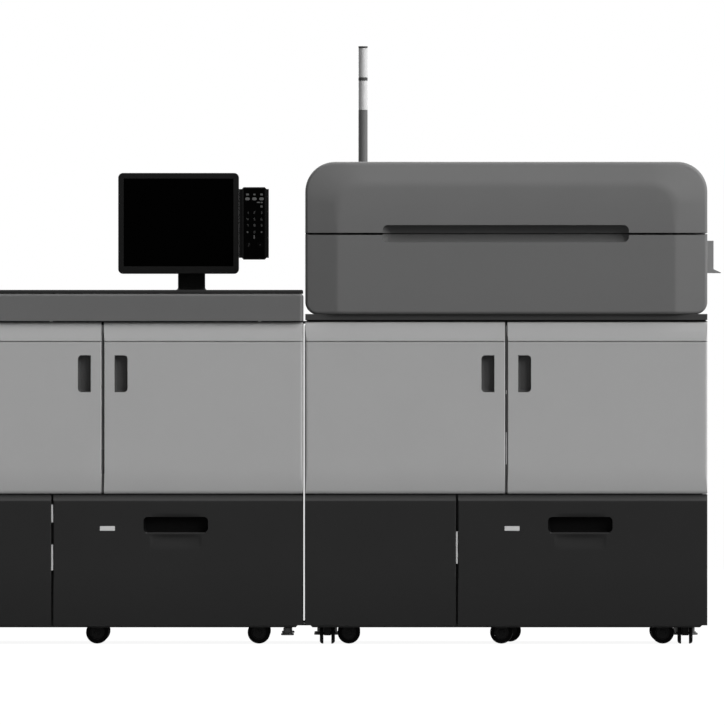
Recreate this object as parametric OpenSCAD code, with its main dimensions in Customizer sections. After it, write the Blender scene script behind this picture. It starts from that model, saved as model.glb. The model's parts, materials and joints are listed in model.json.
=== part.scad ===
/* [Modules] */
// Width of the left module
left_module_w = 1320; // [1150:2:1500]
// Width of the right module
right_module_w = 1326; // [1250:2:1500]
// Gap between the two modules
module_gap = 7.5; // [7:0.5:24]
// Depth over the counter, the hood and the rear covers
press_depth = 1200; // [1150:5:1400]
// Distance that the doors sit behind the front of the hood
door_setback = 14; // [8:1:24]
// Height of the base's underside above the floor
base_clear = 54.5; // [52:0.5:70]
// Height of the lower panels' underside above the floor
panel_clear = 61; // [58:0.5:80]
// Height of the lower panels
lower_panel_h = 432; // [400:1:480]
// Height of the upper doors
door_h = 566; // [540:1:640]
// Open seam between neighbouring panels
seam = 3; // [2:0.5:5]

/* [Doors] */
// Thickness of a door
door_t = 36; // [32:1:42]
// Space between a door's back and the frame
door_back_gap = 10; // [8:1:16]
// Gap between the two doors of a module
door_gap = 8; // [6:0.5:12]
// Distance of the hinge pin from the door's side and from its face
hinge_inset = 12; // [11:0.5:13]
// Diameter of a door's hinge pin
hinge_pin_d = 8; // [6:0.5:9]
// Width of the finger recess in a door
grip_w = 43; // [36:1:55]
// Height of the finger recess in a door
grip_h = 122; // [90:1:160]
// Depth of the finger recess in a door
grip_depth = 24; // [16:1:26]
// Corner radius of the finger recess in a door
grip_r = 12; // [6:1:18]
// Distance of the finger recess from the door's free edge
grip_edge = 35; // [24:1:60]
// Distance of the finger recess's lower end from the door's lower edge
grip_rise = 334; // [250:1:380]
// Height of the leaning band at a door's top
band_h = 63; // [50:1:80]
// Distance that the band leans back at the door's top
band_lean = 7; // [3:0.5:10]

/* [Drawers] */
// Width of the left module's drawer
left_drawer_w = 826.5; // [700:0.5:860]
// Width of the right module's drawer
right_drawer_w = 826; // [700:0.5:860]
// Thickness of a lower panel
lower_panel_t = 42; // [40:1:50]
// Width of a drawer's handle recess
handle_w = 213; // [160:1:260]
// Height of a drawer's handle recess
handle_h = 51; // [40:1:60]
// Depth of a drawer's handle recess
handle_depth = 28; // [20:1:32]
// Height of the handle recess's middle above the panel's lower edge
handle_rise = 332.5; // [300:0.5:350]
// Width of the label pocket on a drawer
label_w = 50; // [30:1:80]
// Height of the label pocket on a drawer
label_h = 16; // [10:1:24]
// Distance of the label pocket's middle from the drawer's left side
label_edge = 182; // [100:1:220]
// Space behind a drawer's tray
tray_back_room = 142; // [122:1:320]
// Wall of a drawer's tray
tray_wall = 4; // [3:0.5:8]
// Height of a drawer's tray
tray_h = 300; // [260:5:320]
// Thickness of a lift plate
lift_plate_t = 3; // [2:0.5:6]

/* [Counter and hood] */
// Height of the left module's counter
counter_h = 102.6; // [80:0.1:140]
// Wall of the counter and of the hood
shell_wall = 14; // [10:1:18]
// Height of the recessed plinth under the hood
plinth_h = 22; // [16:1:36]
// Height of the hood from its bottom to the split
hood_lower_h = 265.7; // [230:0.1:320]
// Height of the hood from the split to its top
hood_upper_h = 237.3; // [200:0.1:280]
// Radius of the hood's upper corners
hood_r = 99; // [70:1:120]
// Radius of the hood's lower front corners
hood_foot_r = 40; // [24:1:60]
// Width of the sloped facets at the hood's front sides
facet_w = 106; // [80:1:140]
// Height of the sloped facet at the hood's front top
facet_h = 74; // [50:1:100]
// Distance that the side facets fall back
facet_fall = 22; // [10:1:30]
// Distance that the top facet falls back
facet_top_fall = 18; // [10:1:26]
// Length of the hood's fixed part behind its lid
hood_rear_l = 350; // [300:5:400]
// Width of the hood's grip slot
slot_w = 812; // [600:2:900]
// Height of the hood's grip slot
slot_h = 57; // [44:1:70]
// Depth of the hood's grip slot
slot_depth = 40; // [30:1:50]
// Corner radius of the hood's grip slot
slot_r = 18; // [8:1:20]
// Radius of the lid's hinge
lid_hinge_r = 8; // [7:0.5:10]
// Diameter of the lid's hinge pins
lid_pin_d = 8; // [6:0.5:9]

/* [Beacon and bracket] */
// Diameter of the beacon
beacon_d = 31; // [24:1:40]
// Length of the beacon's pole above the hood
pole_h = 177.5; // [120:0.5:240]
// Length of one beacon lens
lens_h = 98; // [60:1:120]
// Thickness of the ring between the lenses
ring_h = 10; // [6:0.5:14]
// Thickness of the beacon's cap
cap_h = 6.5; // [4:0.5:10]
// Distance of the beacon from the hood's left side
beacon_from_side = 190.6; // [150:0.2:400]
// Distance that the side bracket stands out from the hood
bracket_reach = 46.5; // [30:0.5:70]
// Height of the side bracket
bracket_h = 107; // [80:1:140]
// Length of the side bracket from front to back
bracket_l = 120; // [80:1:200]

/* [Monitor and keypad] */
// Width of the monitor
monitor_w = 399; // [340:1:460]
// Height of the monitor
monitor_h = 333.5; // [280:0.5:380]
// Thickness of the monitor
monitor_t = 36; // [28:1:44]
// Corner radius of the monitor
monitor_r = 16; // [8:1:24]
// Width of the monitor's screen
screen_w = 362.6; // [300:0.2:372]
// Height of the monitor's screen
screen_h = 290; // [240:1:300]
// Height of the monitor's lower edge above the counter
monitor_rise = 53; // [40:1:80]
// Width of the monitor's stand
stand_w = 90; // [80:1:110]
// Depth of the monitor's stand
stand_t = 50; // [44:1:60]
// Width of the keypad's front
keypad_w = 79.7; // [76:0.1:90]
// Height of the keypad's front
keypad_h = 239.4; // [220:0.2:260]
// Diameter of the start and stop keys
key_d = 18; // [12:1:22]
// Travel of the start and stop keys
key_travel = 1.2; // [0.8:0.1:1.5]

/* [Casters and feet] */
// Diameter of a main caster's wheel
wheel_d = 75; // [70:1:80]
// Thickness of one wheel of a main caster
wheel_t = 20; // [14:1:24]
// Diameter of a stabiliser's wheel
small_wheel_d = 70; // [64:1:72]
// Thickness of one wheel of a stabiliser
small_wheel_t = 12; // [9:1:13]
// Diameter of the left module's levelling feet
left_foot_d = 43; // [36:1:50]
// Diameter of the right module's levelling feet
right_foot_d = 86; // [60:1:90]
// Height of a raised levelling foot above the floor
foot_clear = 28; // [20:1:32]

/* [Process units] */
// Diameter of an image drum
drum_d = 84; // [70:1:90]
// Distance from one image drum to the next
drum_pitch = 240; // [210:1:250]
// Diameter of the fuser's rollers
fuser_roller_d = 100; // [80:1:110]
// Length of the process rollers
roller_l = 400; // [340:2:420]
// Diameter of a toner bottle
bottle_d = 130; // [110:1:140]
// Length of a toner bottle
bottle_l = 480; // [400:5:520]

/* [Hidden] */
$fn = 64;

// Overrun of a cut past the face that it starts from
over = 1;
// Gap of a sliding or turning fit, on each side
fit = 0.05;
// Gap between pieces that rest by each other on different bodies
rest_gap = 0.3;

// Places across the press, from its left end
press_w = left_module_w + module_gap + right_module_w + bracket_reach;
left_x0 = -press_w / 2;
left_x1 = left_x0 + left_module_w;
right_x0 = left_x1 + module_gap;
right_x1 = right_x0 + right_module_w;

// Places from front to back
front_y = -press_depth / 2;
back_y = press_depth / 2;
door_y = front_y + door_setback;
door_back_y = door_y + door_t;
frame_y = door_back_y + door_back_gap;
rear_cover_t = 18;
frame_back_y = back_y - rear_cover_t;
lower_panel_y = frame_y - lower_panel_t;

// Heights
lower_top_z = panel_clear + lower_panel_h;
door_z = lower_top_z + seam;
door_top_z = door_z + door_h;
deck_top_z = door_top_z + seam;
counter_z = deck_top_z + counter_h;
hood_z = deck_top_z + plinth_h;
split_z = hood_z + hood_lower_h;
hood_top_z = split_z + hood_upper_h;

// Frame of a module
side_cover_t = 16;
base_h = 60;
base_chamfer = 8;
base_wall = 10;
post_w = 50;
post_wall = 4;
deck_t = 8;
partition_t = 12;
mid_deck_z = lower_top_z - deck_t + seam;
mid_deck_top_z = mid_deck_z + deck_t;
base_top_z = base_clear + base_h;
paper_slot_h = 30;
paper_slot_l = 420;
paper_z = 795;
docking_link_l = 20;
docking_link_h = 8;

// Lower left covers and drawers
left_split_x = left_x1 - left_drawer_w - seam / 2;
right_split_x = right_x1 - right_drawer_w - seam / 2;
panel_skin = 12;
panel_rim = 14;
panel_edge_r = 10;
cup_wall = 4;
runner_w = 10;
runner_h = 20;
runner_rise = 200;
runner_z = base_top_z + runner_rise;
tray_side_gap = 2;
tray_flange_t = 6;
tray_rise = 16;
tray_z = base_top_z + tray_rise;
tray_y = frame_y - rest_gap;
tray_l = frame_back_y - frame_y - tray_back_room;
lift_gap = 4;
label_depth = 1.5;

// Casters, stabilisers and feet
caster_from_end = 200;
caster_y = press_depth / 2 - caster_from_end;
pocket_depth = 45.5;
housing_t = 24;
housing_w = 40;
housing_plate_d = 100;
housing_plate_t = 4;
axle_d = 12;
wheel_gap = 2;
wheel_edge_r = 6;
stabiliser_from_front = 112;
stabiliser_block_w = 22;
small_axle_d = 8;
stem_d = 14;
stem_l = 12;
fork_clear = 12;
trail = 4;
small_wheel_lift = 0.5;
small_wheel_dome = 10;
left_foot_inset = 51;
left_foot_from_end = 100;
left_foot_y = press_depth / 2 - left_foot_from_end;
right_foot_inset = 72;
right_foot_from_end = 300;
right_foot_y = press_depth / 2 - right_foot_from_end;
foot_t = 8;
left_foot_stem_d = 28;
right_foot_stem_d = 66;
foot_screw_d = 12;
foot_screw_l = 36;
foot_boss_d = 40;

// Places of the casters and stabilisers across the press
left_outer_inset = 147.5;
left_middle_shift = 19;
left_inner_inset = 145.5;
right_inner_inset = 144;
right_middle_offset = 15.5;
right_outer_inset = 146;
stabiliser_inset = 73;
left_outer_x = left_x0 + left_outer_inset;
left_middle_x = (left_x0 + left_x1) / 2 - left_middle_shift;
left_inner_x = left_x1 - left_inner_inset;
right_inner_x = right_x0 + right_inner_inset;
right_middle_front_x = (right_x0 + right_x1) / 2 - right_middle_offset;
right_middle_rear_x = (right_x0 + right_x1) / 2 + right_middle_offset;
right_outer_x = right_x1 - right_outer_inset;
left_stabiliser_x = right_x0 + stabiliser_inset;
right_stabiliser_x = right_x1 - stabiliser_inset;

// Door hinges, in a door's own frame: u runs inward from the hinged side
hinge_rise = 22;
hinge_drop = 36;
notch_h = 12;
notch_l = 57;
notch_skin = 7;
notch_r = 8;
hinge_plate_rise = 4;
hinge_plate_t = 4;
hinge_collar_h = 3.7;
hinge_collar_d = 14;
hinge_pin_l = 18;
hinge_arm_near = 8;
hinge_arm_far = 32;
hinge_arm_narrow = 3;
hinge_arm_wide = 6;
door_rim_hinge = 26;
door_edge_r = 8;
door_free_r = 4;
groove_h = 2.5;
groove_depth = 1.5;
left_door_w = (left_module_w - door_gap) / 2;
right_door_w = (right_module_w - door_gap) / 2;

// Handle recess of a drawer
handle_shift = 6;
handle_r = 14;
label_rise = 320;

// Process plates, drums, belt and fuser
plate_y = 258;
plate_t = 6;
plate_inset = 84;
belt_h = 90;
belt_over = 140;
belt_drop = 5;
belt_top_z = paper_z - belt_drop;
nip_gap = 0.5;
drum_shaft_d = 16;
belt_shaft_d = 20;
developer_w = 190;
developer_drop = 12;
developer_top = 168;
drum_z = belt_top_z + nip_gap + drum_d / 2;
right_mid_x = (right_x0 + right_x1) / 2;
belt_l = 3 * drum_pitch + 2 * belt_over;
fuser_shift = 80;
fuser_x = (left_x0 + left_x1) / 2 - fuser_shift;
fuser_half_w = 130;
fuser_plate_t = 8;
fuser_base_t = 10;
fuser_side_gap = 10;
fuser_bar = 20;
fuser_bar_gap = 6;
fuser_shaft_d = 24;
fuser_plate_y = roller_l / 2 + fuser_side_gap;
hot_roller_z = paper_z + rest_gap + fuser_roller_d / 2;
pressure_roller_z = paper_z - rest_gap - fuser_roller_d / 2;

// Hood
plinth_setback = 20;
fascia_depth = 40;
lid_back_y = back_y - hood_rear_l;
rear_y = lid_back_y + 2 * lid_hinge_r;
lid_axis_y = lid_back_y + lid_hinge_r;
lid_axis_z = hood_top_z - lid_hinge_r;
lug_inset = 200;
lug_w = 40;
lug_gap = 0.5;
barrel_r = lid_hinge_r - lug_gap;
slot_shift = 2;
slot_x0 = right_x0 + (right_module_w - slot_w) / 2 - slot_shift;
slot_x1 = slot_x0 + slot_w;
slot_z0 = split_z - slot_h / 2;
slot_z1 = split_z + slot_h / 2;
tub_floor_z = hood_z + shell_wall;
bottle_pitch = 250;
bottle_from_front = 80;
bottle_y = front_y + bottle_from_front;
bottle_rise = 34;
bottle_z = tub_floor_z + bottle_rise + bottle_d / 2;
bottle_neck_d = 70;
bottle_neck_l = 30;
bottle_ring_d = 100;
cradle_t = 20;
cradle_front = 80;
cradle_back = 380;
cradle_under = 10;

// Beacon
beacon_x = right_x0 + beacon_from_side;
beacon_from_back = 180;
beacon_y = back_y - beacon_from_back;
socket_depth = 30;
socket_wall = 14;
core_d = 14;
core_in_cap = 3;
pole_top_z = hood_top_z + pole_h;

// Side bracket
bracket_t = 22;
bracket_toe_h = 2;
bracket_foot_h = 13;
bracket_drop = 129.5;
bracket_z = split_z - bracket_drop;
bracket_from_front = 180;

// Monitor and keypad
stand_from_side = 368.5;
stand_from_front = 310;
stand_x = left_x1 - stand_from_side;
stand_y = front_y + stand_from_front;
stand_r = 12;
stand_h = 132;
stand_foot_t = 8;
stand_foot_edge = 5;
pivot_d = 24;
pivot_l = 30;
yoke_half_w = 40;
yoke_h = 44;
yoke_ear_t = 10;
yoke_ear_r = 14;
yoke_ear_root = 20;
tilt_pin_d = 12;
tilt_back = 19;
monitor_shift = 42.5;
monitor_reach = 100;
monitor_x = stand_x - monitor_shift;
monitor_y = stand_y - monitor_reach;
monitor_back_y = monitor_y + monitor_t;
monitor_z = counter_z + monitor_rise;
screen_rise = 25;
screen_z = monitor_z + screen_rise;
screen_t = 2;
tilt_y = monitor_back_y + tilt_back;
tilt_z = monitor_z + monitor_h / 2;
yoke_z = counter_z + stand_h + rest_gap;
yoke_top_z = yoke_z + yoke_h;
keypad_gap = 10.4;
keypad_x = monitor_x + monitor_w / 2 + keypad_gap;
keypad_rise = 47;
keypad_z = monitor_z + keypad_rise;
keypad_proud = 2;
keypad_front_t = 8;
keypad_back_t = 24;
keypad_back_w = 98.5;
keypad_back_inset = 6;
keypad_chamfer = 5;
keypad_y = monitor_y - keypad_proud;
membrane_edge = 4.8;
membrane_t = 1.2;
key_proud = 1.5;
key_depth = 6;
key_rise = 49;
key_spread = 19.3;
key_x = keypad_x + keypad_w / 2;
key_z = keypad_z + key_rise;

// Rear covers, inlet and electronics
vent_w = 160;
vent_h = 8;
vent_pitch = 22;
vent_count = 10;
vent_z = 640;
vent_edge = 180;
inlet_w = 60;
inlet_h = 44;
inlet_edge = 190;
inlet_z = 180;
inlet_flange = 8;
inlet_flange_t = 4;
inlet_depth = 12;
inlet_wall = 6;
inlet_pin_w = 5;
inlet_pin_h = 16;
inlet_pin_pitch = 14;
box_gap = 22;
box_l = 130;
box_h = 400;
box_w = 500;
box_slot_h = 6;
box_slot_pitch = 16;
box_slots = 12;
box_slot_depth = 3;

// Box between its lowest and its highest corner
module span(low, high) {
    translate(low) cube(high - low);
}

// Area in X and Z drawn out from y0 to y1
module along_y(y0, y1) {
    translate([0, y1, 0]) rotate([90, 0, 0]) linear_extrude(y1 - y0) children();
}

// Area in Y and Z drawn out from x0 to x1
module along_x(x0, x1) {
    translate([x0, 0, 0]) rotate([90, 0, 90]) linear_extrude(x1 - x0) children();
}

// Round bar along Y
module rod_y(x, z, y0, y1, d) {
    along_y(y0, y1) translate([x, z]) circle(d = d);
}

// Round bar along X
module rod_x(y, z, x0, x1, d) {
    along_x(x0, x1) translate([y, z]) circle(d = d);
}

// Round bar along Z
module rod_z(x, y, z0, z1, d) {
    translate([x, y, z0]) cylinder(h = z1 - z0, d = d);
}

// Rectangle from a low corner with its own radius at each corner, counted from the lower left
module rounded_area(low, high, radii) {
    w = high[0] - low[0];
    h = high[1] - low[1];
    outline = concat(
        radii[0] > 0 ? [[0, radii[0]], [radii[0], 0]] : [[0, 0]],
        radii[1] > 0 ? [[w - radii[1], 0], [w, radii[1]]] : [[w, 0]],
        radii[2] > 0 ? [[w, h - radii[2]], [w - radii[2], h]] : [[w, h]],
        radii[3] > 0 ? [[radii[3], h], [0, h - radii[3]]] : [[0, h]]
    );
    centres = [
        [radii[0], radii[0]],
        [w - radii[1], radii[1]],
        [w - radii[2], h - radii[2]],
        [radii[3], h - radii[3]]
    ];
    translate(low) union() {
        polygon(outline);
        for (i = [0:3]) {
            if (radii[i] > 0) translate(centres[i]) circle(r = radii[i]);
        }
    }
}

// Wheel about an axis along Y, with rounded edges on its tread
module wheel_y(x, z, y0, y1, d, edge_front, edge_back) {
    translate([x, y0, z]) rotate([-90, 0, 0]) rotate_extrude()
        rounded_area([0, 0], [d / 2, y1 - y0], [0, edge_front, edge_back, 0]);
}

// Wheel about an axis along X, with rounded edges on its tread
module wheel_x(y, z, x0, x1, d, edge_left, edge_right) {
    translate([x0, y, z]) rotate([0, 90, 0]) rotate_extrude() intersection() {
        square([d / 2, x1 - x0]);
        rounded_area([0, 0], [d / 2, x1 - x0], [0, edge_left, edge_right, 0]);
    }
}

// Square post of a frame
module post(x, y) {
    difference() {
        span([x, y, base_top_z - over], [x + post_w, y + post_w, deck_top_z - over]);
        span(
            [x + post_wall, y + post_wall, base_top_z],
            [x + post_w - post_wall, y + post_w - post_wall, deck_top_z - deck_t]
        );
    }
}

// Base of a module: a plate with a rim round its open underside
module module_base(inner_x0, inner_x1) {
    difference() {
        along_y(frame_y, frame_back_y) polygon([
            [inner_x0 + base_chamfer, base_clear],
            [inner_x1 - base_chamfer, base_clear],
            [inner_x1, base_clear + base_chamfer],
            [inner_x1, base_top_z],
            [inner_x0, base_top_z],
            [inner_x0, base_clear + base_chamfer]
        ]);
        span(
            [inner_x0 + base_wall, frame_y + base_wall, base_clear - over],
            [inner_x1 - base_wall, frame_back_y - base_wall, base_clear + pocket_depth]
        );
    }
}

// Module frame: base, posts, decks, partition and the wall towards the other module
module module_frame(x0, x1, split_x, wall_x) {
    inner_x0 = x0 + side_cover_t;
    inner_x1 = x1 - side_cover_t;
    module_base(inner_x0, inner_x1);
    for (x = [inner_x0, inner_x1 - post_w]) {
        for (y = [frame_y, frame_back_y - post_w]) {
            post(x, y);
        }
    }
    span([inner_x0, frame_y, mid_deck_z], [inner_x1, frame_back_y, mid_deck_top_z]);
    span([x0, frame_y, deck_top_z - deck_t], [x1, frame_back_y, deck_top_z]);
    span(
        [split_x - partition_t / 2, frame_y, base_top_z - over],
        [split_x + partition_t / 2, frame_back_y, mid_deck_z + over]
    );
    difference() {
        span([wall_x, frame_y, panel_clear], [wall_x + side_cover_t, frame_back_y, deck_top_z - over]);
        paper_slot(wall_x - over, wall_x + side_cover_t + over);
    }
}

// Slot that the paper passes through
module paper_slot(x0, x1) {
    span(
        [x0, -paper_slot_l / 2, paper_z - paper_slot_h / 2],
        [x1, paper_slot_l / 2, paper_z + paper_slot_h / 2]
    );
}

// Round pieces under a base at its four levelling feet: bosses, or the bores in them
module at_feet(x0, x1, inset, y, z0, z1, d) {
    for (x = [x0 + inset, x1 - inset]) {
        for (s = [-1, 1]) {
            rod_z(x, s * y, z0, z1, d);
        }
    }
}

// Bosses for the screws of the levelling feet
module foot_bosses(x0, x1, inset, y) {
    at_feet(x0, x1, inset, y, base_clear, base_clear + pocket_depth + over, foot_boss_d);
}

// Bores for the screws of the levelling feet
module foot_bores(x0, x1, inset, y) {
    at_feet(x0, x1, inset, y, base_clear - over, base_clear + pocket_depth, foot_screw_d + 2 * fit);
}

module left_frame() {
    color("#4a4c4f") difference() {
        union() {
            module_frame(left_x0, left_x1, left_split_x, left_x1 - side_cover_t);
            foot_bosses(left_x0, left_x1, left_foot_inset, left_foot_y);
        }
        foot_bores(left_x0, left_x1, left_foot_inset, left_foot_y);
    }
}

// Places of the image drums along the belt
function drum_x(i) = right_mid_x + (i - 1.5) * drum_pitch;

// Places of the shafts at the belt's ends
function belt_shaft_x(side) = right_mid_x + side * (belt_l - belt_h) / 2;

// Process plate that carries the drums and the belt
module process_plate(y) {
    difference() {
        span(
            [right_x0 + plate_inset, y, mid_deck_top_z - over],
            [right_x1 - plate_inset, y + plate_t, deck_top_z - deck_t + over]
        );
        for (i = [0:3]) {
            rod_y(drum_x(i), drum_z, y - over, y + plate_t + over, drum_shaft_d + 2 * fit);
        }
        for (side = [-1, 1]) {
            rod_y(
                belt_shaft_x(side), belt_top_z - belt_h / 2,
                y - over, y + plate_t + over, belt_shaft_d + 2 * fit
            );
        }
    }
}

// Links that join the two modules at the front and the rear, below and above
module docking_links() {
    for (y = [frame_y, frame_back_y - docking_link_l]) {
        for (z = [panel_clear, deck_top_z - docking_link_h]) {
            span(
                [left_x1, y, z],
                [right_x0 + side_cover_t / 2, y + docking_link_l, z + docking_link_h]
            );
        }
    }
}

module right_frame() {
    color("#4a4c4f") difference() {
        union() {
            module_frame(right_x0, right_x1, right_split_x, right_x0);
            foot_bosses(right_x0, right_x1, right_foot_inset, right_foot_y);
            docking_links();
            process_plate(-plate_y - plate_t);
            process_plate(plate_y);
        }
        for (x = [left_stabiliser_x, right_stabiliser_x]) {
            rod_z(
                x, stabiliser_y, base_clear,
                base_clear + pocket_depth + stem_l, stem_d + 2 * fit
            );
        }
        foot_bores(right_x0, right_x1, right_foot_inset, right_foot_y);
    }
}

// Rear cover with its rows of vent slots
module rear_cover(x0, x1) {
    difference() {
        span([x0, frame_back_y, panel_clear], [x1, back_y, door_top_z]);
        for (side = [x0 + vent_edge, x1 - vent_edge - vent_w]) {
            for (i = [0:vent_count - 1]) {
                span(
                    [side, frame_back_y - over, vent_z + i * vent_pitch],
                    [side + vent_w, back_y + over, vent_z + i * vent_pitch + vent_h]
                );
            }
        }
    }
}

module left_rear_cover() {
    color("#96989b") rear_cover(left_x0, left_x1);
}

module right_rear_cover() {
    color("#96989b") difference() {
        rear_cover(right_x0, right_x1);
        span(
            [inlet_x - fit, frame_back_y - over, inlet_z - fit],
            [inlet_x + inlet_w + fit, back_y + over, inlet_z + inlet_h + fit]
        );
    }
}

// Outer side cover of a module, with the slot where the paper leaves or enters
module end_cover(x) {
    difference() {
        span([x, frame_y, panel_clear], [x + side_cover_t, frame_back_y, deck_top_z - deck_t]);
        paper_slot(x - over, x + side_cover_t + over);
    }
}

module left_end_cover() {
    color("#96989b") end_cover(left_x0);
}

module right_end_cover() {
    color("#96989b") end_cover(right_x1 - side_cover_t);
}

// Lower panel: a pan that is open to the back, with a rounded upper front edge
module lower_panel(x0, x1, panel_back_y) {
    difference() {
        along_x(x0, x1) rounded_area(
            [lower_panel_y, panel_clear], [panel_back_y, lower_top_z], [0, 0, 0, panel_edge_r]
        );
        span(
            [x0 + panel_rim, lower_panel_y + panel_skin, panel_clear + panel_rim],
            [x1 - panel_rim, panel_back_y + over, lower_top_z - panel_rim]
        );
    }
}

module lower_covers() {
    color("#262626") {
        lower_panel(left_x0, left_split_x - seam / 2, frame_y);
        lower_panel(right_x0, right_split_x - seam / 2, frame_y);
    }
}

// Front of a drawer, with its handle recess and label pocket
module drawer_front(x0, x1) {
    handle_x = (x0 + x1) / 2 - handle_shift;
    handle_z = panel_clear + handle_rise;
    label_x = x0 + label_edge;
    label_z = panel_clear + label_rise;
    difference() {
        union() {
            lower_panel(x0, x1, tray_y);
            span(
                [
                    handle_x - handle_w / 2 - cup_wall,
                    lower_panel_y + panel_skin - over,
                    handle_z - handle_h / 2 - cup_wall
                ],
                [
                    handle_x + handle_w / 2 + cup_wall,
                    lower_panel_y + handle_depth + cup_wall,
                    handle_z + handle_h / 2 + cup_wall
                ]
            );
        }
        along_y(lower_panel_y - over, lower_panel_y + handle_depth) rounded_area(
            [handle_x - handle_w / 2, handle_z - handle_h / 2],
            [handle_x + handle_w / 2, handle_z + handle_h / 2],
            [handle_r, handle_r, handle_r, handle_r]
        );
        span(
            [label_x - label_w / 2, lower_panel_y - over, label_z - label_h / 2],
            [label_x + label_w / 2, lower_panel_y + label_depth, label_z + label_h / 2]
        );
    }
}

module left_drawer_front() {
    color("#262626") drawer_front(left_split_x + seam / 2, left_x1);
}

module right_drawer_front() {
    color("#262626") drawer_front(right_split_x + seam / 2, right_x1);
}

// Sides of the bay that a tray slides in
function bay_x0(split_x) = split_x + partition_t / 2;
function bay_x1(x1) = x1 - side_cover_t - post_w;

// Sides of a tray
function tray_x0(split_x) = bay_x0(split_x) + runner_w + tray_side_gap;
function tray_x1(x1) = bay_x1(x1) - runner_w - tray_side_gap;

// Open tray that hangs on its runners by a flange at each side
module drawer_tray(x0, x1) {
    flange_z = runner_z + runner_h + rest_gap;
    reach = runner_w + tray_side_gap - over;
    difference() {
        union() {
            span([x0, tray_y, tray_z], [x1, tray_y + tray_l, tray_z + tray_h]);
            span([x0 - reach, tray_y, flange_z], [x1 + reach, tray_y + tray_l, flange_z + tray_flange_t]);
        }
        span(
            [x0 + tray_wall, tray_y + tray_wall, tray_z + tray_wall],
            [x1 - tray_wall, tray_y + tray_l - tray_wall, tray_z + tray_h + over]
        );
    }
}

module left_drawer_tray() {
    color("#8d9093") drawer_tray(tray_x0(left_split_x), tray_x1(left_x1));
}

module right_drawer_tray() {
    color("#8d9093") drawer_tray(tray_x0(right_split_x), tray_x1(right_x1));
}

// Plate in a tray that lifts the paper
module lift_plate(x0, x1) {
    z0 = tray_z + tray_wall + rest_gap;
    span(
        [x0 + tray_wall + lift_gap, tray_y + tray_wall + lift_gap, z0],
        [x1 - tray_wall - lift_gap, tray_y + tray_l - tray_wall - lift_gap, z0 + lift_plate_t]
    );
}

module left_lift_plate() {
    color("#b9bcc0") lift_plate(tray_x0(left_split_x), tray_x1(left_x1));
}

module right_lift_plate() {
    color("#b9bcc0") lift_plate(tray_x0(right_split_x), tray_x1(right_x1));
}

// Pair of fixed runners of one drawer
module runner_pair(split_x, x1) {
    for (x = [bay_x0(split_x), bay_x1(x1) - runner_w]) {
        span([x, frame_y, runner_z], [x + runner_w, frame_back_y, runner_z + runner_h]);
    }
}

module drawer_runners() {
    color("#9da0a3") {
        runner_pair(left_split_x, left_x1);
        runner_pair(right_split_x, right_x1);
    }
}

// Puts a door or its hinges at the left side of an opening, or mirrored at its right side
module hang(x, side) {
    translate([x, 0, 0]) mirror([side < 0 ? 1 : 0, 0, 0]) children();
}

// Front outline of a door from the side: flat, then leaning back in an arc at the top
module door_side_area() {
    band_z = door_top_z - band_h;
    band_r = (band_h * band_h + band_lean * band_lean) / (2 * band_lean);
    translate([door_y, door_z]) square([door_t, door_h - band_h]);
    intersection() {
        translate([door_y, band_z - over]) square([door_t, band_h + over]);
        translate([door_y + band_r, band_z]) circle(r = band_r, $fn = 720);
    }
}

// Slot for a hinge in a door's back, with the bore for its pin above it or, from a drop, below it
module hinge_notch(z, drop) {
    pin_y = door_y + hinge_inset;
    rod_z(hinge_inset, pin_y, z, z + notch_h, 2 * notch_r);
    span([-over, door_y + notch_skin, z], [notch_l, door_back_y + over, z + notch_h]);
    rod_z(hinge_inset, pin_y, z + drop, z + drop + notch_h + hinge_pin_l, hinge_pin_d + 2 * fit);
}

// Door in its own frame, from its hinged side
module door(w) {
    groove_z = door_top_z - band_h;
    grip_u1 = w - grip_edge;
    grip_u0 = grip_u1 - grip_w;
    grip_z0 = door_z + grip_rise;
    difference() {
        union() {
            difference() {
                intersection() {
                    along_x(0, w) door_side_area();
                    translate([0, 0, door_z]) linear_extrude(door_h) rounded_area(
                        [0, door_y], [w, door_back_y], [door_edge_r, door_free_r, 0, 0]
                    );
                }
                span(
                    [door_rim_hinge, door_y + panel_skin, door_z + panel_rim],
                    [w - panel_rim, door_back_y + over, door_top_z - panel_rim]
                );
            }
            span(
                [grip_u0 - cup_wall, door_y + panel_skin - over, grip_z0 - cup_wall],
                [grip_u1 + cup_wall, door_y + grip_depth + cup_wall, grip_z0 + grip_h + cup_wall]
            );
        }
        along_y(door_y - over, door_y + grip_depth) rounded_area(
            [grip_u0, grip_z0], [grip_u1, grip_z0 + grip_h], [grip_r, 0, 0, grip_r]
        );
        span([-over, door_y - over, groove_z - groove_h], [w + over, door_y + groove_depth, groove_z]);
        hinge_notch(door_z + hinge_rise, 0);
        hinge_notch(door_top_z - hinge_drop - notch_h, -hinge_pin_l);
    }
}

module left_module_left_door() {
    color("#969696") hang(left_x0, 1) door(left_door_w);
}

module left_module_right_door() {
    color("#969696") hang(left_x1, -1) door(left_door_w);
}

module right_module_left_door() {
    color("#969696") hang(right_x0, 1) door(right_door_w);
}

module right_module_right_door() {
    color("#969696") hang(right_x1, -1) door(right_door_w);
}

// Hinge bracket with its collar and pin, standing up from z
module hinge_bracket(z) {
    pin_y = door_y + hinge_inset;
    translate([hinge_inset, pin_y, z]) {
        linear_extrude(hinge_plate_t) {
            circle(d = hinge_collar_d);
            polygon([
                [-hinge_arm_narrow, hinge_arm_wide],
                [hinge_arm_wide, -hinge_arm_narrow],
                [hinge_arm_far, frame_y - pin_y - hinge_plate_t],
                [hinge_arm_far, frame_y - pin_y],
                [hinge_arm_near, frame_y - pin_y]
            ]);
        }
        cylinder(h = hinge_plate_t + hinge_collar_h, d = hinge_collar_d);
        cylinder(h = hinge_plate_t + hinge_collar_h + hinge_pin_l - hinge_plate_rise, d = hinge_pin_d);
    }
}

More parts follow.
